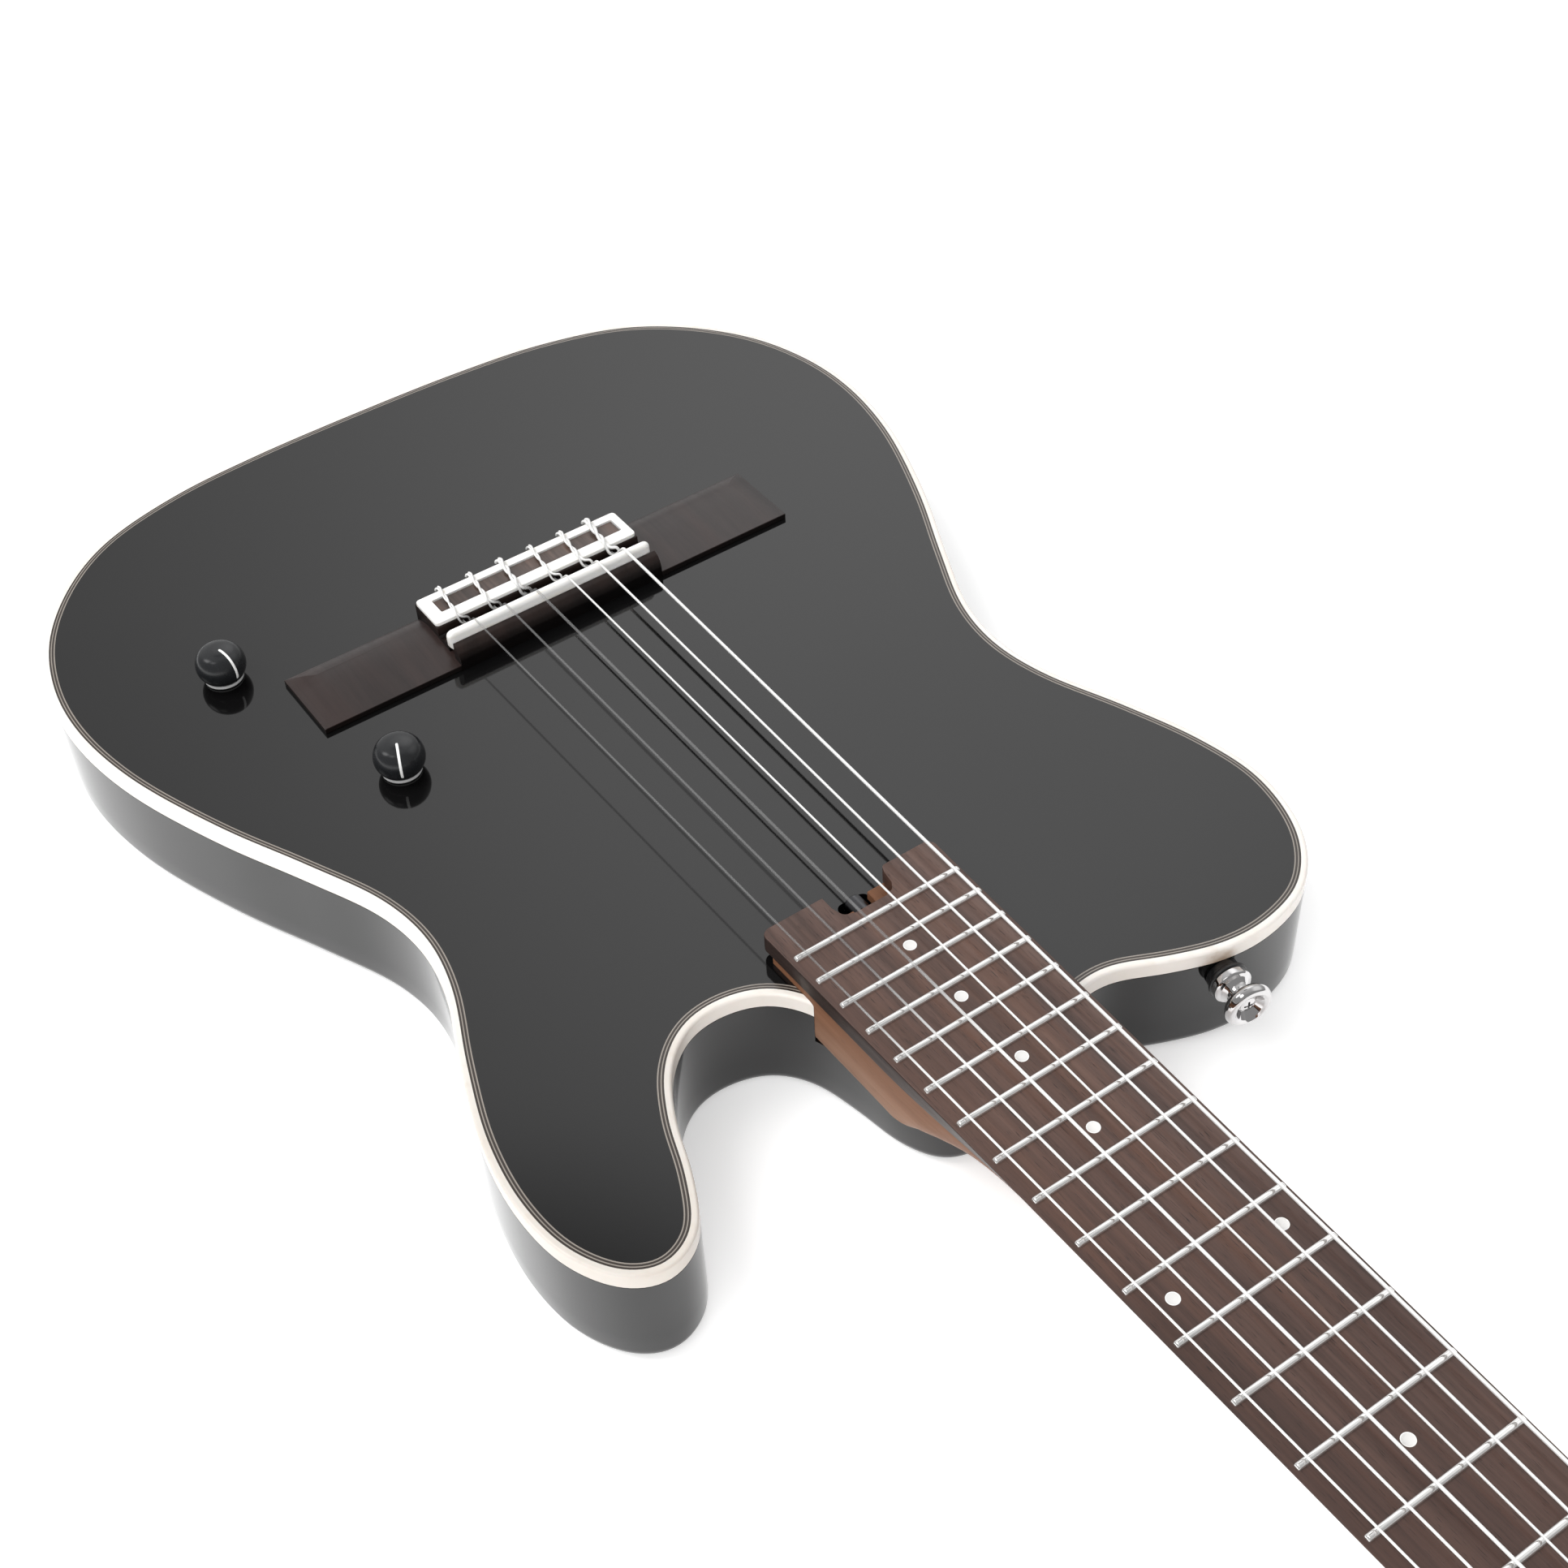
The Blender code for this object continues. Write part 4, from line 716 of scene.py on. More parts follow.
def outline(per=8):
    ctrl = TREBLE + HORN + SHOULDER + [(x, -y) for x, y in reversed(TREBLE[1:])]
    n = len(ctrl)
    out = []
    for i in range(n):
        p0, p1, p2, p3 = (np.array(ctrl[(i + k) % n], float) for k in (-1, 0, 1, 2))
        d1 = max(np.linalg.norm(p1 - p0), 1e-6) ** 0.5
        d2 = max(np.linalg.norm(p2 - p1), 1e-6) ** 0.5
        d3 = max(np.linalg.norm(p3 - p2), 1e-6) ** 0.5
        m1 = ((p1 - p0) / d1 - (p2 - p0) / (d1 + d2) + (p2 - p1) / d2) * d2
        m2 = ((p2 - p1) / d2 - (p3 - p1) / (d2 + d3) + (p3 - p2) / d3) * d2
        for k in range(per):
            t = k / per
            h = (2 * t**3 - 3 * t**2 + 1, t**3 - 2 * t**2 + t,
                 -2 * t**3 + 3 * t**2, t**3 - t**2)
            out.append(p1 * h[0] + m1 * h[1] + p2 * h[2] + m2 * h[3])
    pts = np.array(out)
    # Even spacing and a light smoothing, which a long reflection needs.
    step = np.linalg.norm(np.roll(pts, -1, axis=0) - pts, axis=1)
    along = np.r_[0, np.cumsum(step)]
    want = np.linspace(0, along[-1], 720, endpoint=False)
    loop = np.vstack([pts, pts[:1]])
    pts = np.c_[np.interp(want, along, loop[:, 0]), np.interp(want, along, loop[:, 1])]
    for _ in range(6):
        pts = 0.5 * pts + 0.25 * (np.roll(pts, 1, axis=0) + np.roll(pts, -1, axis=0))
    return pts


EDGE = outline()


def inset(d, pts=None):
    p = EDGE if pts is None else pts
    before = p - np.roll(p, 1, axis=0)
    after = np.roll(p, -1, axis=0) - p
    nb = np.c_[-before[:, 1], before[:, 0]] / np.maximum(np.linalg.norm(before, axis=1), 1e-9)[:, None]
    na = np.c_[-after[:, 1], after[:, 0]] / np.maximum(np.linalg.norm(after, axis=1), 1e-9)[:, None]
    mid = nb + na
    mid /= np.linalg.norm(mid, axis=1)[:, None]
    stretch = 1.0 / np.maximum((mid * nb).sum(axis=1), 0.5)
    return p + mid * (d * stretch)[:, None]


def level(d, z):
    return [(x, y, z) for x, y in inset(d)]


def board_half(x):
    return 24.5 + (SCALE - x) * 0.0164


def ease(x, a, b):
    t = min(1.0, max(0.0, (x - a) / (b - a)))
    return t * t * (3 - 2 * t)


def lean(x):
    """How much the neck is slimmed at x: 0 over the body and at the nut, 1 between."""
    return ease(x, 225.0, 290.0) * (1 - ease(x, 560.0, 630.0))


LEAN_IN = 3.0          # the board's sides come in this far at its underside


def bass_in(x):
    """The board's bass edge sits a little closer to the frets' ends than its treble edge."""
    return 0.9 * (1 - ease(x, 560.0, 640.0))


def fret_x(n):
    return SCALE * 2 ** (-n / 12)


def face_z(x):
    return FACE_Z - (x - HEAD_START) * math.tan(FACE_TILT)


NORMAL = Vector((math.sin(FACE_TILT), 0.0, math.cos(FACE_TILT)))
DOWN_FACE = Vector((math.cos(FACE_TILT), 0.0, -math.sin(FACE_TILT)))

pocket_plan = [(x, side * (board_half(x) - 0.25 - (bass_in(x) if side > 0 else 0.0)))
               for x, side in ((HEEL_END - 0.4, -1), (262.0, -1), (262.0, 1), (HEEL_END - 0.4, 1))]


def pocket_cutter(z0):
    return prism("pocket", pocket_plan, z0, 60.0)


# ================================================================ body
BR = 5.0
rings = []
for k in range(9):
    a = math.pi / 2 * k / 8
    rings.append(level(BR * (1 - math.sin(a)), BR * (1 - math.cos(a))))
rings += [level(0.0, 12.0), level(0.0, 20.0), level(0.0, 28.0), level(0.0, BIND_Z0 - 0.02),
          level(BIND_W + 0.1, BIND_Z0 - 0.02), level(BIND_W + 0.1, 37.9)]
core = loft("body_shell", rings)
cutters = [
    pocket_cutter(HEEL_Z - GAP),
    prism("c1", capsule(*CONTROL, 25.0), -1.0, 33.0),
    prism("c2", capsule(*CONTROL, 29.0), -1.0, 2.6),
    prism("c3", round_rect(-112.3, -51.7, 37.7, 74.3, 3.0), -1.0, 24.6),
    prism("c4", round_rect(-115.3, -48.7, 35.0, 77.0, 3.0), -1.0, 1.9),
    prism("c5", capsule(2.0, 99.0, 62.0, 82.0, 22.0), 9.0, 50.0),
    prism("c6", capsule(185.0, 84.0, 203.0, 100.0, 24.0), 9.0, 50.0),
    prism("c7", round_rect(*RECESS, 2.4), 35.0, 50.0),
    prism("c8", round_rect(181.7, 232.3, -19.3, 29.3, 4.0), -1.0, 2.4),
]
for kx, ky in (VOLUME_AT, TONE_AT):
    cutters.append(lathe("c9", [(4.8, 20), (4.8, 50)], (kx, ky, 0), (0, 0, 1), 24))
for bx, by in BOLTS:
    cutters.append(lathe("c10", [(2.6, -1), (2.6, 30)], (bx, by, 0), (0, 0, 1), 16))
cutters.append(lathe("c11", [(7.0, -60), (7.0, 6)], (*JACK_P, JACK_Z), (*JACK_N, 0), 24))
for p, n, z in ((STRAP_P, STRAP_N, STRAP_Z), (TAIL_P, TAIL_N, TAIL_Z)):
    cutters.append(lathe("c12", [(2.0, -21), (2.0, 6)], (*p, z), (*n, 0), 12))
combine(core, cutters)
dress(core, LACQUER_SIDE, 30)
put(core, "guitar", "body_core")

TOP_INSET = 4.25
top = loft("body_top_plate", [level(TOP_INSET, 38.0), level(TOP_INSET, BODY_T)])
cutters = [pocket_cutter(30.0),
           prism("c7", round_rect(*RECESS, 2.4), 30.0, 50.0)]
for kx, ky in (VOLUME_AT, TONE_AT):
    cutters.append(lathe("c9", [(4.8, 20), (4.8, 50)], (kx, ky, 0), (0, 0, 1), 24))
combine(top, cutters)
dress(top, LACQUER, 30)
put(top, "guitar", "body_top")

ring = [level(0.25, BIND_Z0), level(0.0, BIND_Z0 + 0.25), level(0.0, 38.6)]
for k in range(7):
    a = math.pi / 2 * k / 6
    ring.append(level(1.0 * (1 - math.cos(a)), BODY_T - 1.0 + 1.0 * math.sin(a)))
ring += [level(1.6, BODY_T), level(BIND_W, BODY_T), level(BIND_W, BIND_Z0)]
binding = loft("edge_binding", ring, closed=True)
combine(binding, [pocket_cutter(25.0)])
dress(binding, CREAM, 40)
put(binding, "guitar", "body_binding")

# Purfling: dark, pale, dark, pale lines, each its own strip.
for tag, d0, d1, look in (("outer_dark", BIND_W, 2.85, LINE_DARK), ("outer_pale", 2.85, 3.2, LINE_PALE),
                          ("inner_dark", 3.2, 3.85, LINE_DARK), ("inner_pale", 3.85, TOP_INSET, LINE_PALE)):
    strip = loft("purfling_" + tag, [level(d0, 38.0), level(d0, BODY_T), level(d1, BODY_T),
                                     level(d1, 38.0)], closed=True)
    combine(strip, [pocket_cutter(25.0)])
    dress(strip, look, 40)
    put(strip, "guitar", "purfling")

# ================================================================ bridge
ZT = BODY_T + 0.02


RIDGE = -21.5


def reach(x):
    """0 at the ridge of a wing, 1 at its front and back edges."""
    return (x - RIDGE) / (0.8 - RIDGE) if x > RIDGE else (RIDGE - x) / (30.0 + RIDGE)


def wing(side):
    """A wing: a long front plane, a back slope, and a hip at the outer end."""
    def section(y, lift):
        pts = [(-30.0, ZT), (0.8, ZT), (0.8, 44.1)]
        for x, z in ((-3.0, 44.57), (-8.0, 45.15), (-13.0, 45.72), (-16.0, 46.03), (-18.5, 46.22), (RIDGE, 46.32)):
            pts.append((x, z))
        pts += [(-23.5, 46.15), (-25.5, 45.72), (-27.8, 44.95), (-30.0, 43.95)]
        return [(x, y(x), z if z <= ZT else 44.05 + (z - 44.05) * lift(x)) for x, z in pts]

    rings = [section(lambda x: side * 38.0, lambda x: 1.0)]
    for t in (0.0, 0.5, 1.0):
        # Outer hip: the crease runs from the ridge out to both corners.
        rings.append(section(
            lambda x, t=t: side * ((81.5 + reach(x) * 11.4) * (1 - t) + 93.5 * t),
            lambda x, t=t: 1.0 - t))
    return loft("wing", rings)


BLOCK = rounded([
    (-30.4, ZT), (1.1, ZT, 0), (1.1, 44.2, 1.5), (0.95, 46.4, 3.0), (0.2, 48.9, 3.0), (-1.2, 50.6, 2.0),
    (-3.3, 51.4, 0.4), (-3.3, 44.4, 0), (-7.0, 44.4, 0), (-7.0, 48.6, 0.4),
    (-9.5, 48.4, 0.8), (-13.0, 46.6, 0.5), (-14.2, 46.9, 0.3),
    (-14.5, 50.45, 0.3), (-19.9, 50.45, 0), (-19.9, 51.25, 0.15),
    (-26.5, 51.25, 0.15), (-26.5, 50.45, 0), (-30.4, 50.45),
], 0.3, 3)
block = loft("block", [[(x, y, z) for x, z in BLOCK] for y in (-41.5, 39.9)])
seat = [bar("seat", -30.9, -13.9, y0, y1, 50.45, 52.0)
        for y0, y1 in ((-42.5, -36.3), (36.3, 41.0))]
bores = [lathe("bore", [(1.3, -33), (1.3, -12.0)], (0, y, 47.9), (1, 0, 0), 16)
         for y in SADDLE_Y]
combine(block, [islands("cutter", seat + bores)])
dress(block, BLOCK_WOOD, 32)
block.name = "bridge_tie_block"
put(block, "guitar", "bridge")
for side, tag in ((-1, "treble"), (1, "bass")):
    w = wing(side)
    soften(w, 0.18, 2, 20.0)
    dress(w, BRIDGE_WOOD, 20)
    w.name = "bridge_wing_" + tag
    put(w, "guitar", "bridge")

# Wood strip seen inside the frame inlay.
strip = plate("tie_strip", round_rect(-26.5, -19.9, -36.3, 36.3, 0.3, 3), 50.5, 51.35, 0.15, INLAY_WOOD)
put(strip, "guitar", "bridge")

outer = round_loop([(-30.3, -41.4), (-14.9, -41.4), (-14.9, 39.8), (-30.3, 39.8)], 1.6, 4)
inlay = plate("tie_block_frame", outer, 50.5, 51.85, 0.3, None)
combine(inlay, [prism("hole", round_rect(-26.9, -19.5, -36.7, 36.7, 0.5, 3), 50.0, 53.0)])
dress(inlay, INLAY_WHITE, 40)
put(inlay, "guitar", "tie_block_inlay")

# Saddle: crowned, its ends turned down.
prof = []
for k in range(13):
    a = math.pi * k / 12
    prof.append((SADDLE_X + 1.62 * math.cos(a), SADDLE_TOP - 2.1 + 2.1 * math.sin(a) if 0 < k < 12 else SADDLE_TOP - 2.1))
prof = [(SADDLE_X + 1.62, 46.5)] + prof + [(SADDLE_X - 1.62, 46.5)]
rings = []
for s in (-1, 1):
    part = []
    for k in range(7):
        a = math.pi / 2 * k / 6
        y = -1.75 + s * (38.2 + 2.4 * math.sin(a))
        lift = 1.0 - (1 - math.cos(a)) * 0.22
        thin = 0.3 + 0.7 * math.cos(a)
        foot = 2.9 * math.sin(a)
        tall = SADDLE_TOP - 46.5
        part.append([(SADDLE_X + (x - SADDLE_X) * thin, y,
                      46.5 + foot + (z - 46.5) * (lift * tall - foot) / tall) for x, z in prof])
    rings += list(reversed(part)) if s < 0 else part
saddle = loft("saddle_bone", rings, BONE, 50)
put(saddle, "guitar", "saddle")


# ================================================================ neck
def pchip(xs, ys, at):
    """Monotone cubic through the stations."""
    xs, ys = np.array(xs, float), np.array(ys, float)
    h = np.diff(xs)
    d = np.diff(ys) / h
    m = np.zeros(len(xs))
    m[0], m[-1] = d[0], d[-1]
    for i in range(1, len(xs) - 1):
        if d[i - 1] * d[i] > 0:
            w1, w2 = 2 * h[i] + h[i - 1], h[i] + 2 * h[i - 1]
            m[i] = (w1 + w2) / (w1 / d[i - 1] + w2 / d[i])
    i = np.clip(np.searchsorted(xs, at) - 1, 0, len(xs) - 2)
    t = (at - xs[i]) / h[i]
    return (ys[i] * (2 * t**3 - 3 * t**2 + 1) + m[i] * h[i] * (t**3 - 2 * t**2 + t)
            + ys[i + 1] * (-2 * t**3 + 3 * t**2) + m[i + 1] * h[i] * (t**3 - t**2))


def neck_ring(x, half, top, bottom, square, slim=0.0, shift=0.0, n=44):
    power = 2.15 - 0.65 * slim + 9.0 * square**1.5 + 26.0 * square**8
    a = np.linspace(0, math.pi, 400)
    shoulder = min(2.4, (top - bottom) * 0.3) * (1 - slim) + 0.05
    ex = half * np.sign(np.cos(a)) * np.abs(np.cos(a)) ** (2 / power)
    ez = top - shoulder - (top - bottom - shoulder) * np.abs(np.sin(a)) ** (2 / power)
    along = np.r_[0, np.cumsum(np.hypot(np.diff(ex), np.diff(ez)))]
    want = np.linspace(0, along[-1], n)
    px, pz = np.interp(want, along, ex), np.interp(want, along, ez)
    row = [(float(a), float(b)) for a, b in zip(px, pz)] + [(-half, top), (half, top)]
    return [(x, y + shift, z) for y, z in row]


HEAD_HALF = [(651.0, 24.0), (656.2, 24.5), (661.0, 26.2), (668.0, 30.5), (676.0, 36.2),
             (684.0, 39.4), (696.0, 40.6), (740.0, 39.2), (784.0, 37.6), (800.0, 36.2),
             (812.0, 32.5), (820.0, 26.0), (825.5, 15.0), (HEAD_END, 5.0)]
ST = [(HEEL_END, HEEL_Z, 1.0), (200.0, HEEL_Z, 1.0), (226.0, HEEL_Z, 1.0), (233.5, 26.2, 0.9),
      (241.0, 28.0, 0.62), (250.0, 29.1, 0.3), (260.0, 29.4, 0.1), (272.0, 29.3, 0.0),
      (325.0, 29.2, 0.0), (420.0, 29.7, 0.0), (520.0, 30.2, 0.0), (610.0, 30.8, 0.0),
      (632.0, 30.6, 0.0), (645.0, 29.6, 0.12), (652.0, 28.9, 0.3), (659.0, 29.2, 0.6)]
for x in (666.0, 676.0, 700.0, 760.0, 800.0, HEAD_END):
    ST.append((x, face_z(x) - VENEER_T - GAP - HEAD_T, 1.0))
sx, sb, sq = (np.array(c) for c in zip(*ST))
rings = []
xs = np.unique(np.round(np.r_[
    np.arange(HEEL_END, 228.0, 6.0), np.arange(228.0, 276.0, 2.0), np.arange(276.0, 636.0, 12.0),
    np.arange(636.0, 700.0, 1.6), np.arange(700.0, 798.0, 7.0), np.arange(798.0, 816.0, 1.2),
    np.arange(816.0, HEAD_END - 0.2, 0.4), [HEAD_END]], 3))
for x in xs:
    if x < 648.0:
        half = board_half(x) - 0.35 - LEAN_IN * lean(x) - bass_in(x) / 2
    else:
        half = float(pchip([640.0] + [h[0] for h in HEAD_HALF], [24.3] + [h[1] for h in HEAD_HALF], x))
    high = NECK_TOP if x < 656.5 else min(NECK_TOP, face_z(x) - VENEER_T - 0.02)
    rings.append(neck_ring(x, half, high, float(pchip(sx, sb, x)), float(np.clip(pchip(sx, sq, x), 0, 1)),
                           lean(x), -bass_in(x) / 2))
neck = loft("neck_mahogany", rings)
tongue = plate("tongue", round_rect(168.7, 175.0, 5.7, 13.2, 0.5, 3), BODY_T + 0.05, NECK_TOP, 0.3, None)
cutters = [bar("t1", 183.0, 632.0, TRUSS_Y - 3.0, TRUSS_Y + 3.0, 37.0, 50.0),
           prism("t2", capsule(160.0, TRUSS_Y, 182.5, TRUSS_Y, 3.9, 12), 35.2, 50.0)]
for bx, by in BOLTS:
    cutters.append(lathe("c10", [(2.2, 20), (2.2, 36.0)], (bx, by, 0), (0, 0, 1), 12))
for px, sy in ((px, sy) for px in (695.0, 735.0, 775.0) for sy in (-1, 1)):
    at = Vector((px, sy * POST_Y, face_z(px)))
    cutters.append(lathe("post", [(3.5, -40), (3.5, 20)], at, NORMAL, 20))
combine(neck, cutters)
combine(neck, [tongue], "UNION")
dress(neck, HEEL_WOOD, 38)
put(neck, "guitar", "neck")

# Headstock veneer, its edge rounded.
hx = np.r_[np.arange(657.0, 798.0, 3.0), np.arange(798.0, 816.0, 1.2),
           np.arange(816.0, HEAD_END - 0.2, 0.4), [HEAD_END]]
hh = [float(pchip([h[0] for h in HEAD_HALF], [h[1] for h in HEAD_HALF], x)) for x in hx]
plan = [(x, -h) for x, h in zip(hx, hh)] + [(x, h) for x, h in reversed(list(zip(hx, hh)))]
veneer = plate("head_veneer", plan, FACE_Z - VENEER_T, FACE_Z, 0.6, None,
               slope=math.tan(FACE_TILT), x_ref=HEAD_START)
cutters = []
for px, sy in ((px, sy) for px in (695.0, 735.0, 775.0) for sy in (-1, 1)):
    cutters.append(lathe("post", [(3.5, -10), (3.5, 20)], (px, sy * POST_Y, face_z(px)), NORMAL, 20))
combine(veneer, cutters)
dress(veneer, VENEER_WOOD, 35)
put(veneer, "guitar", "headstock_veneer")

# ================================================================ fretboard
NOTCH = [(150.0, -9.8), (172.4, -9.8, 3.0), (176.6, -8.6, 2.5), (177.9, -5.0, 2.0), (177.9, 6.5, 1.5),
         (176.9, 9.4, 1.0), (174.6, 10.9, 1.0), (169.8, 11.6, 1.0), (167.8, 12.4, 1.0),
         (166.6, 14.0, 0.5), (150.0, 14.0)]
BOARD_X = np.r_[np.arange(BOARD_END + 4.0, 224.0, 8.0), np.arange(225.0, 291.0, 3.0),
                np.arange(300.0, 556.0, 20.0), np.arange(560.0, 644.0, 5.0), [SCALE - 0.5]]


def board_level(z, pull):
    """Outline of the board at height z, drawn in by pull; its sides lean in where the neck is slim."""
    deep = LEAN_IN * (BOARD_TOP - z) / BOARD_T
    out = []
    for side in (-1, 1):
        def half(x):
            return board_half(x) - (bass_in(x) if side > 0 else 0.0) - deep * lean(x) - pull
        turn = 3.2 - pull
        row = [(BOARD_END + pull + turn * (1 - math.cos(a)), side * (half(BOARD_END) - turn * (1 - math.sin(a))))
               for a in np.linspace(0, math.pi / 2, 9)]
        row += [(x, side * half(x)) for x in BOARD_X]
        row += [(SCALE - 0.2, side * (half(SCALE) - 0.1)), (SCALE - 0.1, side * (half(SCALE) - 0.4))]
        out += row if side < 0 else row[::-1]
    return [(float(x), float(y), z) for x, y in out]


rings = [board_level(BOARD_TOP - BOARD_T, 0.0), board_level(BOARD_TOP - 0.55, 0.0)]
for a in (0.35, 0.7, 1.1, math.pi / 2):
    rings.append(board_level(BOARD_TOP - 0.55 * (1 - math.sin(a)), 0.55 * (1 - math.cos(a))))
board = loft("fretboard_rosewood", rings)
combine(board, [prism("notch", round_loop(NOTCH, 1.0, 4), 40.0, 60.0)])
combine(board, [bar("groove", 180.4, 615.2, -1.4, 1.4, 40.0, 48.6)])
dress(board, [BOARD_WOOD, BOARD_SIDE], 35)
for face in board.data.polygons:
    # Painted shade: the long sides are drawn darker than the top; they are also more polished.
    if abs(face.normal.y) > 0.8 and abs(face.center[1]) > 20 * MM:
        face.material_index = 1
put(board, "guitar", "fretboard")

# Twenty-two frets, crowned, their ends bevelled and rounded.
crown = []
for k in range(11):
    a = math.pi * k / 10
    crown.append((1.05 * math.cos(a), 1.16 * math.sin(a) ** 0.62 if 0 < k < 10 else 0.0))
for n in range(1, 23):
    x = fret_x(n)
    w = board_half(x) - 1.7
    rings = []
    for y, lift, thin in ((-w, 0.30, 0.80), (-w + 0.18, 0.62, 0.92), (-w + 0.5, 0.88, 1.0),
                          (-w + 0.95, 1.0, 1.0), (-w * 0.5, 1.0, 1.0), (0.0, 1.0, 1.0), (w * 0.5, 1.0, 1.0),
                          (w - 0.95, 1.0, 1.0), (w - 0.5, 0.88, 1.0), (w - 0.18, 0.62, 0.92), (w, 0.30, 0.80)):
        rings.append([(x + dx * thin, y, BOARD_TOP - 0.02 + dz * lift) for dx, dz in crown])
    wire = loft(f"fret_{n}", rings, NICKEL, 60)
    put(wire, "guitar", "frets")

# Position dots, let in flush with a fine raised rim.
DOTS = [(3, 0), (5, 0), (7, 0), (9, 0), (12, -19), (12, 19), (15, 0), (17, 0), (19, 0), (21, 0)]
for k, (n, y) in enumerate(DOTS, 1):
    x = (fret_x(n) + fret_x(n - 1)) / 2 - 1.0
    dot = lathe(f"position_dot_{k}", [(2.05, BOARD_TOP - 0.8), (2.05, BOARD_TOP + 0.02), (1.98, BOARD_TOP + 0.07),
                                      (1.86, BOARD_TOP + 0.08), (1.78, BOARD_TOP + 0.03), (0, BOARD_TOP + 0.035)],
                (x, y, 0), (0, 0, 1), 40, [INLAY_WHITE, DOT_WHITE], which=[0, 0, 0, 0, 1])
    put(dot, "guitar", ())

# Nut: rounded back, six slots.
prof = rounded([(650.1, 45.2), (655.4, 45.2), (655.4, 51.9, 0.8), (653.4, 53.2, 1.2), (650.1, 53.5, 0.4), (650.1, 45.2)], 0.4, 4)[:-1]
nut = loft("nut_bone_slotted", [[(x, y, z) for x, z in prof] for y in (-24.3, 24.3)])
soften(nut, 0.3, 2, 40)
slots = [bar("slot", 640.0, 666.0, y - r - 0.1, y + r + 0.1, 52.75 - r, 60.0)
         for y, r in zip(NUT_Y, STRING_R)]
combine(nut, [islands("cutter", slots)])
dress(nut, NUT_BONE, 40)
put(nut, "guitar", "nut")

# Truss nut with its spoke holes and hex socket.
wheel = lathe("truss_wheel", rounded([(0.001, 166.5), (2.75, 166.5, 0.3), (3.1, 167.2, 0.3), (3.1, 176.2, 0.3),
                                      (2.5, 177.2, 0.2), (2.5, 183.6)], 0.3, 3)[1:],
              (0, TRUSS_Y, TRUSS_Z), (1, 0, 0), 48)
holes = [lathe("spoke", [(0.7, 2.1), (0.7, 6.0)], (173.4, TRUSS_Y, TRUSS_Z),
               (0, math.cos(t), math.sin(t)), 16)
         for t in (math.radians(90 * k + 20) for k in range(4))]
combine(wheel, [islands("cutter", holes)])
combine(wheel, [lathe("hex", [(1.6, 160), (1.6, 170)], (0, TRUSS_Y, TRUSS_Z), (1, 0, 0), 6)])
dress(wheel, GUNMETAL, 35)
put(wheel, "truss_adjuster", "truss_nut")

# ================================================================ strings
for k in range(6):
    r = STRING_R[k]
    y, yn = SADDLE_Y[k], NUT_Y[k]
    side = -1 if k < 3 else 1
    xp = POST_X[k]
    post = Vector((xp, side * POST_Y, face_z(xp)))
    crest = SADDLE_TOP + r
    end = 52.75
    look = NYLON if k < 3 else WOUND

    # Tail of the knot, lying twisted with the standing part over the block.
    base = 51.85 + 1.06 * r

    def pair(t, phase, spread=1.0):
        """A strand of the twisted pair; t = 0 at the back edge, 1 at the front edge."""
        ang = phase + t * math.pi * 2.6
        cx = -30.2 + 14.9 * t
        cy = y - 0.4 - 1.7 * t
        return (cx, cy + r * 1.05 * math.cos(ang) * spread,
                base + r * 1.0 + r * 0.98 * math.sin(ang) * spread)

    forward = [pair(i / 14, 0.4) for i in range(15)]
    back = [pair(i / 14, 0.4 + math.pi) for i in range(14, -1, -1)]
    knot = [(-14.0, y - 2.3, 51.3 + r), (-12.9, y - 2.0, 50.2), (-12.0, y - 0.6, 49.0 - r * 0.3),
            (-11.4, y + r * 1.5 + 0.3, 50.0), (-11.8, y + 0.5, 51.3 + r * 1.4),
            (-13.0, y - 1.2, 51.6 + r)]
    stub = [(-30.9, y - 0.5 - r, 52.1 + r), (-31.6, y - 0.8 - r, 51.6 + r), (-31.9, y - 0.9 - r, 50.7 + r)]
    tie = ([(-14.0, y, 47.9), (-22.0, y, 47.9), (-30.2, y, 47.9), (-31.2, y, 48.2), (-31.9 - 0.3 * r, y, 49.4),
            (-32.0 - 0.2 * r, y - 0.1, 51.0), (-31.4, y - 0.2, 52.2 + r)] + forward + knot + back + stub)
    knotted = tube(f"string_{k + 1}_tie", smooth_path(tie, 4), r, 10, look)
    put(knotted, "guitar", f"string_{k + 1}")

    lead = [(-14.6, y, 47.9), (-13.0, y, 48.5), (-10.5, y, 50.6), (SADDLE_X - 1.9, y, crest - 1.3),
            (SADDLE_X - 0.8, y, crest - 0.28), (SADDLE_X, y, crest), (SADDLE_X + 1.2, y, crest - 0.01)]
    path = smooth_path(lead, 5)
    x0, z0 = SADDLE_X + 1.2, crest - 0.01
    for i in range(1, 60):
        t = i / 60
        path.append(np.array((x0 + (649.9 - x0) * t, y + (yn - y) * t, z0 + (end - z0) * t)))
    head = [(649.9, yn, end), (653.0, yn, end - 0.06), (655.6, yn, end - 0.35)]
    winding = 3.0 + 0.05 + r
    tip = post + NORMAL * 8.0
    turns, steps = 2.2, 20
    for i in range(int(turns * steps) + 1):
        t = i / steps
        ang = -side * math.pi / 2 + side * 2 * math.pi * t
        p = (tip - NORMAL * (t * (2 * r + 0.06)) + DOWN_FACE * (winding * math.cos(ang))
             + Vector((0, 1, 0)) * (winding * math.sin(ang)))
        head.append(tuple(p))
    path += smooth_path(head, 2)
    string = tube(f"string_{k + 1}_run", path, r, 10, look)
    put(string, "guitar", f"string_{k + 1}")

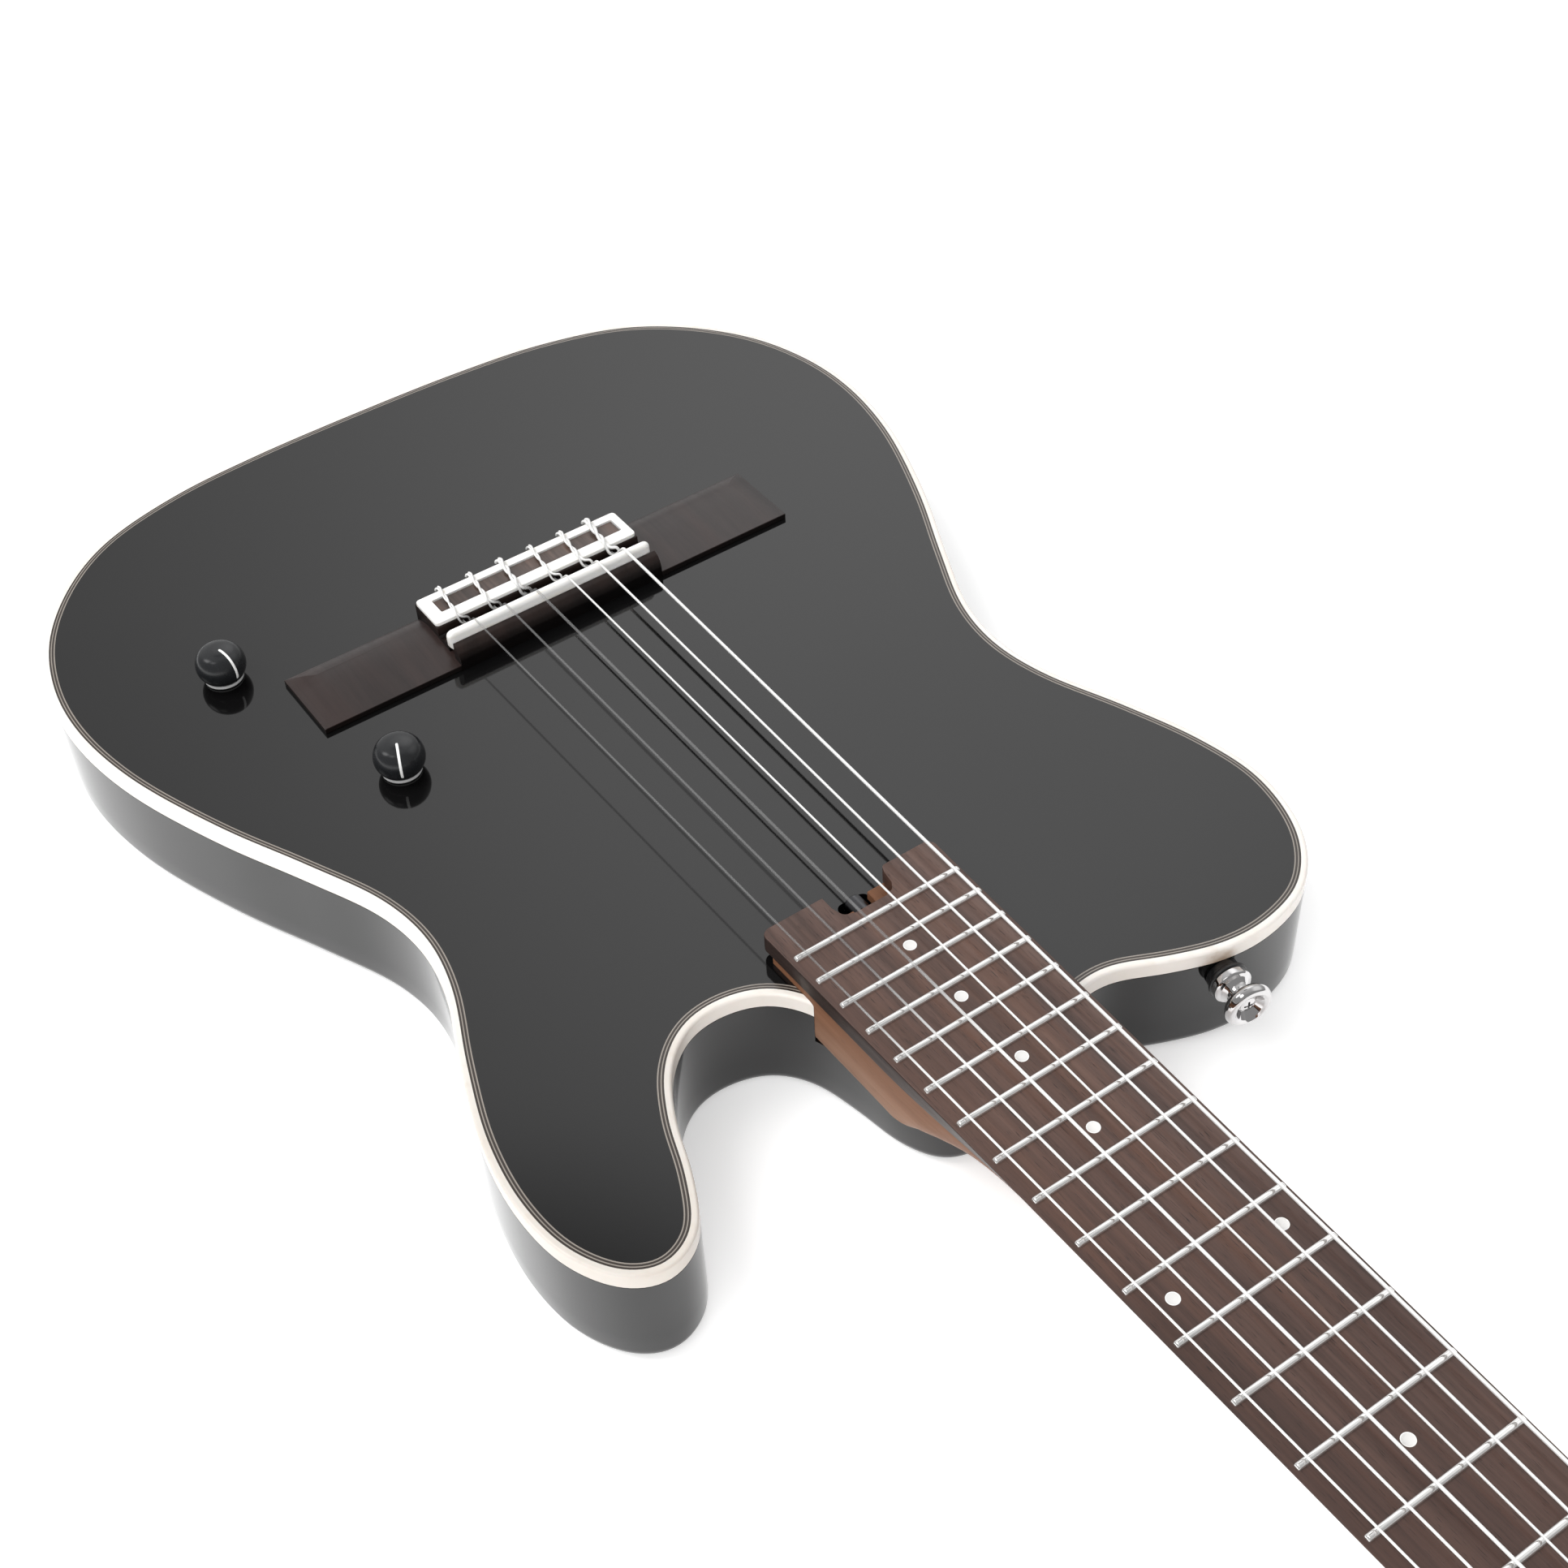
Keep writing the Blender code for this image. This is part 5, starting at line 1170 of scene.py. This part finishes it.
# ================================================================ tuners
TEETH, PITCH_R = 14, 5.8
LEAD = 2 * math.pi * PITCH_R / TEETH
WORM_D = 8.3
LAYER = -(VENEER_T + GAP + HEAD_T)
GEAR_H = 2.4
AXIS_H = LAYER - 5.3


def tuner(index, px, side):
    base = Vector((px, side * POST_Y, face_z(px)))
    u, v, w = DOWN_FACE, Vector((0, 1, 0)), NORMAL

    def at(a, b, c):
        return base + u * a + v * b + w * c

    def block(name, a0, a1, b0, b1, c0, c1):
        low = [at(a0, b0, c0), at(a1, b0, c0), at(a1, b1, c0), at(a0, b1, c0)]
        high = [at(a0, b0, c1), at(a1, b0, c1), at(a1, b1, c1), at(a0, b1, c1)]
        return loft(name, [low, high])

    # Plate with rounded corners and two lugs.
    plan = round_loop([(-7.0, -11.5), (12.4, -11.5), (12.4, 11.5), (-7.0, 11.5)], 2.2, 5)
    base_plate = loft("p", [[at(a, b, c) for a, b in plan] for c in (LAYER - 1.9, LAYER - 0.35)])
    lugs = []
    for b in (-7.6, 7.6):
        outline_ = round_loop([(WORM_D - 3.4, LAYER - 1.0, 0.0), (WORM_D - 3.4, AXIS_H - 3.2, 2.6),
                               (WORM_D + 3.4, AXIS_H - 3.2, 2.6), (WORM_D + 3.4, LAYER - 1.0, 0.0)], 2.6, 6)
        lugs.append(loft("lug", [[at(a, b + s, c) for a, c in outline_] for s in (-1.3, 1.3)]))
    combine(base_plate, lugs, "UNION")
    combine(base_plate, [lathe("hole", [(3.6, LAYER - 6), (3.6, LAYER + 4)], base, w, 24),
                         lathe("hole", [(1.85, -14), (1.85, 14)], at(WORM_D, 0, AXIS_H), v, 20)])
    soften(base_plate, 0.25, 2, 40)
    dress(base_plate, CHROME, 40)
    base_plate.name = f"tuner_base_{index}"
    put(base_plate, "guitar", f"tuner_plate_{index}")
    for s, (a, b) in enumerate(((-5.0, -9.4), (-5.0, 9.4), (10.4, -9.9), (10.4, 9.9)), 1):
        screw = lathe(f"tuner_{index}_screw_{s}", [(1.5, LAYER - 1.7), (1.5, LAYER - 2.0), (1.3, LAYER - 2.4),
                                                   (0.8, LAYER - 2.65), (0.0, LAYER - 2.7)], at(a, b, 0), w, 20, None)
        ax = at(a, b, LAYER - 2.8)
        cross = []
        for d1, d2 in ((u, v), (v, u)):
            low = [ax + d1 * (i * 0.95) + d2 * (j * 0.2) - w * 0.4 for i, j in ((-1, -1), (1, -1), (1, 1), (-1, 1))]
            high = [p + w * 0.85 for p in low]
            cross.append(loft("x", [low, high]))
        combine(screw, cross)
        dress(screw, STEEL, 40)
        put(screw, "guitar", ())
    # Ferrule on the front face.
    ferrule = lathe(f"tuner_ferrule_{index}", rounded([(3.25, -1.2), (3.25, 1.1, 0.2), (4.2, 1.0, 0.3), (5.2, 0.3, 0.3), (5.3, 0.02), (3.46, 0.02), (3.46, -1.2)], 0.2, 3),
                    base, w, 36, CHROME)
    put(ferrule, "guitar", ())

    # Post: waist for the string, eye through it.
    prof = rounded([(2.4, AXIS_H - 1.8), (2.4, AXIS_H - 1.2, 0.1), (2.95, AXIS_H + 1.2, 0.1), (2.95, 5.8, 0.4), (2.5, 6.5, 0.4),
                    (2.5, 9.5, 0.4), (2.95, 10.1, 0.4), (2.95, 12.4, 0.5), (2.2, 12.8, 0.3), (0.001, 12.85)], 0.3, 4)
    shaft = lathe("s", prof, base, w, 32)
    combine(shaft, [lathe("eye", [(0.8, -6), (0.8, 6)], at(0, 0, 8.0), u, 14)])
    dress(shaft, CHROME, 40)
    shaft.name = f"tuner_post_round_{index}"
    put(shaft, f"post_{index}", f"tuner_post_{index}")
    twist = GEAR_H / 2 * math.tan(math.atan(LEAD / (2 * math.pi * 2.35))) / PITCH_R
    rings = []
    for h in np.linspace(-1, 1, 5):
        pts = []
        for t in range(TEETH):
            mid = 2 * math.pi * (t + 0.5) / TEETH
            for da, r in ((-0.17, 4.72), (-0.125, 4.82), (-0.095, 5.6), (-0.055, 6.24), (0.055, 6.24), (0.095, 5.6),
                          (0.125, 4.82), (0.17, 4.72)):
                ang = mid + da + twist * h
                pts.append(at(r * math.cos(ang), r * math.sin(ang), AXIS_H + h * GEAR_H / 2))
        rings.append(pts)
    gear = loft(f"tuner_gear_{index}", rings)
    combine(gear, [lathe("bore", [(2.5, -5), (2.5, 5)], at(0, 0, AXIS_H), w, 24)])
    dress(gear, BRASS, 40)
    put(gear, f"post_{index}", ())
    screw = lathe(f"tuner_gear_screw_{index}", rounded([(1.2, AXIS_H - 1.3), (2.9, AXIS_H - 1.5, 0.2), (2.9, AXIS_H - 2.2, 0.5), (0.001, AXIS_H - 2.7)], 0.4, 4),
                  base, w, 28, STEEL)
    put(screw, f"post_{index}", ())

    # Worm shaft and button.
    axis_at = at(WORM_D, 0, AXIS_H)
    prof = rounded([(1.4, -10.5), (1.55, -10.2, 0.1), (1.55, 14.0, 0.2), (2.4, 14.5, 0.2), (2.4, 15.4, 0.2), (1.5, 15.9, 0.2),
                    (1.5, 20.0, 0.4), (2.4, 21.5, 0.5), (2.4, 24.0)], 0.2, 3)
    rod = lathe("r", prof, axis_at, (0, side, 0), 24)
    dress(rod, CHROME, 40)
    rod.name = f"tuner_shaft_{index}"
    put(rod, f"key_{index}", f"tuner_key_{index}")
    steps, turns = 24, 2.3
    total = int(steps * turns)
    rings = []
    for i in range(total + 1):
        t = (i / steps) - turns / 2
        phi = math.pi + 2 * math.pi * t
        fade = min(1.0, i / 8, (total - i) / 8)
        ring_pts = []
        for r, b in ((1.3, -0.82), (2.0, -0.5), (2.75, -0.22), (2.98, 0.0), (2.75, 0.22), (2.0, 0.5), (1.3, 0.82)):
            r = 1.3 + (r - 1.3) * (0.15 + 0.85 * fade)
            ring_pts.append(axis_at + u * (r * math.cos(phi)) - w * (r * math.sin(phi))
                            + v * (LEAD * t + b))
        rings.append(ring_pts)
    worm = loft(f"tuner_worm_{index}", rings, STEEL, 40)
    put(worm, f"key_{index}", ())
    rings = []
    for b, ru, rw in ((20.6, 1.9, 1.9), (21.4, 2.5, 2.4), (23.0, 4.6, 3.1), (25.0, 7.0, 3.7), (27.5, 8.5, 3.9), (30.0, 9.0, 3.85),
                      (32.5, 8.8, 3.7), (34.8, 7.6, 3.3), (36.3, 5.4, 2.6), (37.1, 2.8, 1.5), (37.3, 1.0, 0.6)):
        ring_pts = []
        for j in range(40):
            a = 2 * math.pi * j / 40
            ring_pts.append(axis_at + v * (side * b) + u * (ru * math.cos(a)) + w * (rw * math.sin(a)))
        rings.append(ring_pts)
    button = loft(f"tuner_button_{index}", rings, CHROME, 50)
    put(button, f"key_{index}", ())


for index, (px, side) in enumerate(((POST_X[k], -1 if k < 3 else 1) for k in range(6)), 1):
    tuner(index, px, side)


# ================================================================ back fittings
def phillips(obj, centre, axis, depth, length, width):
    """Cuts a cross recess whose mouth is at centre, axis pointing out."""
    place = frame_at(centre, axis)
    for a, b in ((length, width), (width, length)):
        top_ring = [place(sx * a, sy * b, 2.0) for sx, sy in ((-1, -1), (1, -1), (1, 1), (-1, 1))]
        mid_ring = [place(sx * a, sy * b, 0.0) for sx, sy in ((-1, -1), (1, -1), (1, 1), (-1, 1))]
        tip_ring = [place(sx * a * 0.45, sy * b * 0.6, -depth) for sx, sy in ((-1, -1), (1, -1), (1, 1), (-1, 1))]
        combine(obj, [loft("x", [tip_ring, mid_ring, top_ring])])
    return obj


plan = round_rect(182.0, 232.0, -19.0, 29.0, 4.0)
joint_plate = plate("neck_joint_plate", plan, 0.25, 2.1, 0.5, None, both=True)
combine(joint_plate, [islands("cutter", [
    lathe("h", [(5.2, -1), (5.2, 0.2), (4.5, 1.0), (4.5, 5)], (bx, by, 0), (0, 0, 1), 32) for bx, by in BOLTS])])
dress(joint_plate, CHROME, 35)
put(joint_plate, "guitar", "neck_plate")
for i, (bx, by) in enumerate(BOLTS, 1):
    bolt = lathe("b", rounded([(0.001, 0.25), (2.6, 0.3, 0.5), (4.2, 0.85, 0.2), (4.2, 1.3, 0.2), (2.0, 2.6, 0.3),
                               (2.0, 34.0, 0.3), (1.0, 35.6)], 0.3, 4), (bx, by, 0), (0, 0, 1), 36)
    phillips(bolt, (bx, by, 0.3), (0, 0, -1), 1.6, 2.2, 0.45)
    dress(bolt, CHROME, 38)
    bolt.name = f"neck_screw_{i}"
    put(bolt, "guitar", f"neck_bolt_{i}")

cover = plate("control_plate", capsule(*CONTROL, 28.6), 0.25, 2.2, 0.45, None, both=True)
spots = []
ux, uy = CONTROL[2] - CONTROL[0], CONTROL[3] - CONTROL[1]
ul = math.hypot(ux, uy)
ux, uy = ux / ul, uy / ul
for t, s in ((-22.6, 0.0), (ul * 0.33, -24.6), (ul * 0.33, 24.6), (ul * 0.78, -24.6), (ul * 0.78, 24.6), (ul + 22.6, 0.0)):
    spots.append((CONTROL[0] + ux * t - uy * s, CONTROL[1] + uy * t + ux * s))
combine(cover, [islands("cutter", [lathe("h", [(2.7, -1), (2.7, 0.25), (1.2, 1.6), (1.2, 5)], (a, b, 0), (0, 0, 1), 24)
                                   for a, b in spots])])
dress(cover, MATT_BLACK, 35)
put(cover, "guitar", "control_cover")
for i, (a, b) in enumerate(spots, 1):
    screw = lathe("s", rounded([(0.001, 0.3), (1.4, 0.35, 0.3), (2.5, 0.6, 0.15), (1.1, 1.8, 0.1), (1.0, 2.5)], 0.2, 3),
                  (a, b, 0), (0, 0, 1), 24)
    phillips(screw, (a, b, 0.35), (0, 0, -1), 1.0, 1.3, 0.28)
    dress(screw, STEEL, 38)
    screw.name = f"cover_screw_{i}"
    put(screw, "guitar", ())

# Battery lid: ribbed thumb area, hinge roll and catch.
DOOR_X, DOOR_Z = -108.6, 2.2
lid = plate("lid", round_rect(-108.2, -54.2, 40.1, 71.9, 0.8, 3), 0.6, 2.3, 0.3, None, both=True)
grooves = [bar("g", -66.0 + 1.7 * i, -65.2 + 1.7 * i, 47.0, 65.0, 0.0, 0.95) for i in range(6)]
combine(lid, [islands("cutter", grooves)])
combine(lid, [lathe("roll", [(1.4, 40.1), (1.4, 71.9)], (DOOR_X, 0, DOOR_Z), (0, 1, 0), 24),
              lathe("pin", [(0.95, 38.9), (0.95, 73.1)], (DOOR_X, 0, DOOR_Z), (0, 1, 0), 20),
              bar("catch", -57.0, -55.6, 50.0, 62.0, 1.8, 4.2)], "UNION")
dress(lid, MATT_BLACK, 35)
lid.name = "battery_lid_ribbed"
put(lid, "battery_lid", "battery_door")

# ================================================================ knobs
for tag, (kx, ky), pointer in (
        ("volume", VOLUME_AT, [(1.15, -0.4), (4.2, -1.65), (8.3, -3.5)]),
        ("tone", TONE_AT, [(1.0, 0.4), (6.8, 1.7), (9.1, 2.4)])):
    body = f"{tag}_control"
    dome = smooth_path([(6.3, 0, 43.1), (7.35, 0, 44.35), (8.25, 0, 46.1), (8.62, 0, 48.1), (8.38, 0, 50.2), (7.45, 0, 52.4),
                        (5.95, 0, 53.95), (4.0, 0, 54.72), (2.0, 0, 55.03), (0.001, 0, 55.1)], 8)
    prof = [(2.9, 40.0), (2.9, 43.1)] + [(float(p[0]), float(p[2])) for p in dome]
    knob = lathe(f"{tag}_knob_body", prof, (kx, ky, 0), (0, 0, 1), 72, KNOB_BLACK, 50)
    put(knob, body, f"{tag}_knob")
    skirt = lathe(f"{tag}_knob_skirt", rounded([(3.4, 42.15), (6.5, 42.15, 0.3), (6.8, 42.5, 0.3), (6.2, 43.5, 0.3), (3.4, 43.6)], 0.2, 5),
                  (kx, ky, 0), (0, 0, 1), 72, SATIN, 50)
    put(skirt, body, ())
    stem = lathe(f"{tag}_stem", rounded([(2.9, 26.0), (2.9, 41.6, 0.3), (2.5, 42.1)], 0.2, 3), (kx, ky, 0), (0, 0, 1), 28, STEEL)
    put(stem, body, ())

    # Pointer: a white line let in from near the centre, over the edge and down the side.
    surface = sorted({(round(r, 4), round(h, 4)) for r, h in prof if h > 43.5}, key=lambda q: -q[1])

    def skin(s):
        """Point (r, h) on the knob's surface, s millimetres from the centre along the profile."""
        gone = 0.0
        for (r0, h0), (r1, h1) in zip(surface, surface[1:]):
            d = math.hypot(r1 - r0, h1 - h0)
            if gone + d >= s:
                t = (s - gone) / max(d, 1e-9)
                nr, nh = -(h1 - h0), (r1 - r0)
                ln = max(math.hypot(nr, nh), 1e-9)
                return r0 + (r1 - r0) * t, h0 + (h1 - h0) * t, abs(nr) / ln, abs(nh) / ln
            gone += d
        return (*surface[-1], 1.0, 0.0)

    rings = []
    for i in range(27):
        s = 1.1 + i / 26 * 13.6
        r, h, nr, nh = skin(s)
        # plan direction bends slightly along the drawn line
        a0 = math.atan2(pointer[0][1], pointer[0][0])
        a1 = math.atan2(pointer[1][1], pointer[1][0])
        a2 = math.atan2(pointer[2][1], pointer[2][0])
        q = min(1.0, r / 8.6)
        ang = a0 * (1 - q) ** 2 + 2 * a1 * q * (1 - q) + a2 * q * q
        along = Vector((math.cos(ang), math.sin(ang), 0))
        across = Vector((-math.sin(ang), math.cos(ang), 0))
        out = along * nr + Vector((0, 0, nh))
        c = Vector((kx, ky, 0)) + along * r + Vector((0, 0, h))
        ww = 0.43 if 0 < i < 26 else 0.28
        rings.append([c + across * ww - out * 0.5, c + across * ww + out * 0.03,
                      c + across * ww * 0.5 + out * 0.07, c - across * ww * 0.5 + out * 0.07,
                      c - across * ww + out * 0.03, c - across * ww - out * 0.5])
    mark = loft(f"{tag}_pointer", rings, POINTER, 40)
    put(mark, body, ())

# ================================================================ strap buttons
for tag, p, n, z in (("upper", STRAP_P, STRAP_N, STRAP_Z), ("tail", TAIL_P, TAIL_N, TAIL_Z)):
    o, a = (*p, z), (*n, 0.0)

    washer = lathe("w", rounded([(2.6, 0.1), (5.55, 0.1, 0.3), (5.7, 2.5, 0.5), (6.55, 3.0, 0.35), (6.6, 3.9, 0.35), (6.2, 4.15, 0.1), (2.6, 4.15)], 0.3, 4),
                   o, a, 60)
    dress(washer, RUBBER, 50)
    washer.name = f"strap_pad_{tag}"
    put(washer, "guitar", f"strap_washer_{tag}")
    prof = rounded([(2.6, 4.2), (6.2, 4.2, 0.3), (6.35, 6.5, 0.45), (5.9, 7.0, 0.4), (5.0, 7.5, 0.8), (3.85, 8.9, 1.2), (3.7, 10.3, 1.0),
                    (4.4, 11.5, 0.9), (6.7, 12.0, 1.2), (8.05, 14.0, 2.0), (7.3, 16.1, 1.5), (5.9, 16.5, 0.6), (4.9, 15.9, 0.45),
                    (3.1, 13.5, 0.2), (1.95, 13.1, 0.2), (1.95, 11.8)], 0.5, 8)
    button = lathe("b", prof, o, a, 72)
    dress(button, CHROME, 60)
    button.name = f"strap_peg_{tag}"
    put(button, "guitar", f"strap_button_{tag}")
    screw = lathe("s", rounded([(0.6, -17.5), (1.6, -15.0, 0.2), (1.7, 13.15, 0.1), (2.95, 13.85, 0.2), (2.6, 14.5, 0.4), (1.3, 14.85, 0.5), (0.001, 14.9)], 0.3, 4),
                  o, a, 36)
    phillips(screw, tuple(Vector(o) + Vector(a) * 14.8), a, 1.4, 1.6, 0.36)
    dress(screw, CHROME, 38)
    screw.name = f"strap_peg_screw_{tag}"
    put(screw, "guitar", f"strap_screw_{tag}")

# ================================================================ output socket
o, a = (*JACK_P, JACK_Z), (*JACK_N, 0.0)
jack = lathe("j", rounded([(5.0, -31.0), (6.4, -29.5, 0.3), (6.4, 0.1, 0.1), (10.4, 0.1, 0.2), (10.5, 1.2, 0.3), (9.9, 2.1, 0.6),
                           (8.0, 2.3, 0.3), (5.3, 2.3, 0.1), (5.3, 4.3, 0.3), (4.2, 4.35)], 0.3, 4), o, a, 56)
combine(jack, [lathe("bore", [(3.25, -28.0), (3.25, 8.0)], o, a, 32)])
dress(jack, CHROME, 40)
jack.name = "socket_sleeve"
put(jack, "guitar", "output_jack")
place = frame_at(o, a)
hexagon = []
for i in range(6):
    t = math.radians(60 * i + 15)
    hexagon.append((6.9 * math.cos(t), 6.9 * math.sin(t)))
hexagon = round_loop(hexagon, 0.5, 3)
hex_nut = loft("socket_nut", [[place(x * s, y * s, h) for x, y in hexagon]
                              for h, s in ((2.3, 0.97), (2.6, 1.0), (3.5, 1.0), (3.9, 0.95))])
combine(hex_nut, [lathe("bore", [(4.9, -3.0), (4.9, 8.0)], o, a, 32)])
dress(hex_nut, CHROME, 35)
put(hex_nut, "guitar", ())

# ================================================================ internals keep their CAD shape
for node, look, slot in (
        ("battery", SHELL, "battery_shell"), ("battery_box", MATT_BLACK, "black_plastic"),
        ("piezo_pickup", PICKUP, "pickup_strip"), ("preamp_board", CIRCUIT, "circuit"),
        ("truss_rod", STEEL, "steel"), ("volume_pot", STEEL, "steel"), ("tone_pot", STEEL, "steel")):
    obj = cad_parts[node]
    if not obj.data.materials:
        obj.data.materials.append(look)
    for i in range(len(obj.material_slots)):
        obj.material_slots[i].link = "DATA"
        obj.material_slots[i].material = look

# ================================================================ stage
g = Graph("studio_floor", (0.86, 0.86, 0.86), roughness=0.9)
g.put("Specular IOR Level", 0.0)
speck = g.noise(g.space((1, 1, 1)), 30.0, 3.0)
g.put("Base Color", g.mix(g.span(speck, 0.3, 0.7, 0, 1), (0.87, 0.87, 0.87), (0.89, 0.89, 0.89)))
g.put("Emission Color", (1.0, 1.0, 1.0, 1.0))
g.put("Emission Strength", 0.40)
size = 7000.0
floor = mesh_object("floor", [(-size, -size, -0.3), (size, -size, -0.3), (size, size, -0.3), (-size, size, -0.3)],
                    [(0, 1, 2, 3)], g.mat)

# World: soft white room, brighter over the tail, darker in one high corner.
world = bpy.data.worlds.new("studio")
scene.world = world
world.use_nodes = True
wt = world.node_tree
wt.nodes.clear()
out = wt.nodes.new("ShaderNodeOutputWorld")
back = wt.nodes.new("ShaderNodeBackground")
wt.links.new(back.outputs[0], out.inputs[0])
coords = wt.nodes.new("ShaderNodeTexCoord")


def direction(azimuth, elevation):
    a, e = math.radians(azimuth), math.radians(elevation)
    return (math.cos(a) * math.cos(e), math.sin(a) * math.cos(e), math.sin(e))


def lobe(azimuth, elevation, inner, outer, value):
    """value inside the inner angle, nothing beyond the outer one."""
    dot = wt.nodes.new("ShaderNodeVectorMath")
    dot.operation = "DOT_PRODUCT"
    wt.links.new(coords.outputs["Generated"], dot.inputs[0])
    dot.inputs[1].default_value = direction(azimuth, elevation)
    arc = wt.nodes.new("ShaderNodeMath")
    arc.operation = "ARCCOSINE"
    wt.links.new(dot.outputs["Value"], arc.inputs[0])
    span = wt.nodes.new("ShaderNodeMapRange")
    span.interpolation_type = "SMOOTHSTEP"
    wt.links.new(arc.outputs[0], span.inputs["Value"])
    span.inputs["From Min"].default_value = math.radians(inner)
    span.inputs["From Max"].default_value = math.radians(outer)
    span.inputs["To Min"].default_value = value
    span.inputs["To Max"].default_value = 0.0
    return span.outputs["Result"]


def math_node(a, b, operation):
    n = wt.nodes.new("ShaderNodeMath")
    n.operation = operation
    for value, index in ((a, 0), (b, 1)):
        if hasattr(value, "is_output"):
            wt.links.new(value, n.inputs[index])
        else:
            n.inputs[index].default_value = value
    return n.outputs[0]


total = math_node(lobe(141, 43.5, 4, 26, 0.87), 0.34, "ADD")
total = math_node(total, lobe(150, 38, 26, 80, 0.42), "ADD")
total = math_node(total, lobe(163, 62, 6, 10.8, 0.65), "SUBTRACT")
total = math_node(total, lobe(236, 50, 9, 13, 3.2), "ADD")
total = math_node(total, lobe(282, 62, 7, 10, 2.0), "ADD")
total = math_node(total, lobe(75, 40, 10, 30, 0.5), "ADD")
wt.links.new(total, back.inputs["Strength"])
back.inputs["Color"].default_value = (1.0, 1.0, 1.0, 1.0)


def soft_box(name, azimuth, elevation, distance, width, energy, glossy=False):
    lamp = bpy.data.lights.new(name, "AREA")
    lamp.shape = "DISK"
    lamp.size = width
    lamp.energy = energy
    obj = bpy.data.objects.new(name, lamp)
    scene.collection.objects.link(obj)
    d = Vector(direction(azimuth, elevation))
    aim = Vector((0.1, 0.0, 0.0))
    obj.location = aim + d * distance
    obj.rotation_mode = "QUATERNION"
    obj.rotation_quaternion = d.to_track_quat("Z", "Y")
    obj.visible_glossy = glossy
    obj.visible_camera = False
    return obj


soft_box("key", 232, 55, 1.75, 1.2, 16.5)
soft_box("fill", 318, 36, 2.3, 2.6, 34.0)

# ================================================================ camera
data = bpy.data.cameras.new("view")
data.sensor_width = 36.0
data.sensor_fit = "HORIZONTAL"
data.lens = 52.637
data.clip_start, data.clip_end = 0.01, 60.0
camera = bpy.data.objects.new("view", data)
scene.collection.objects.link(camera)
right = Vector((0.5744516, 0.8175129, -0.0409630))
down = Vector((0.5604108, -0.4292801, -0.7082785))
forward = Vector((-0.5966114, 0.3839156, -0.7047437))
m = Matrix.Identity(4)
for i in range(3):
    m[i][0], m[i][1], m[i][2] = right[i], -down[i], -forward[i]
m[0][3], m[1][3], m[2][3] = 0.55258, -0.26893, 0.56160
camera.matrix_world = m
scene.camera = camera
scene.view_settings.view_transform = "Standard"
scene.view_settings.look = "None"
scene.view_settings.exposure = 0.0
scene.view_settings.gamma = 1.0

bpy.context.view_layer.update()
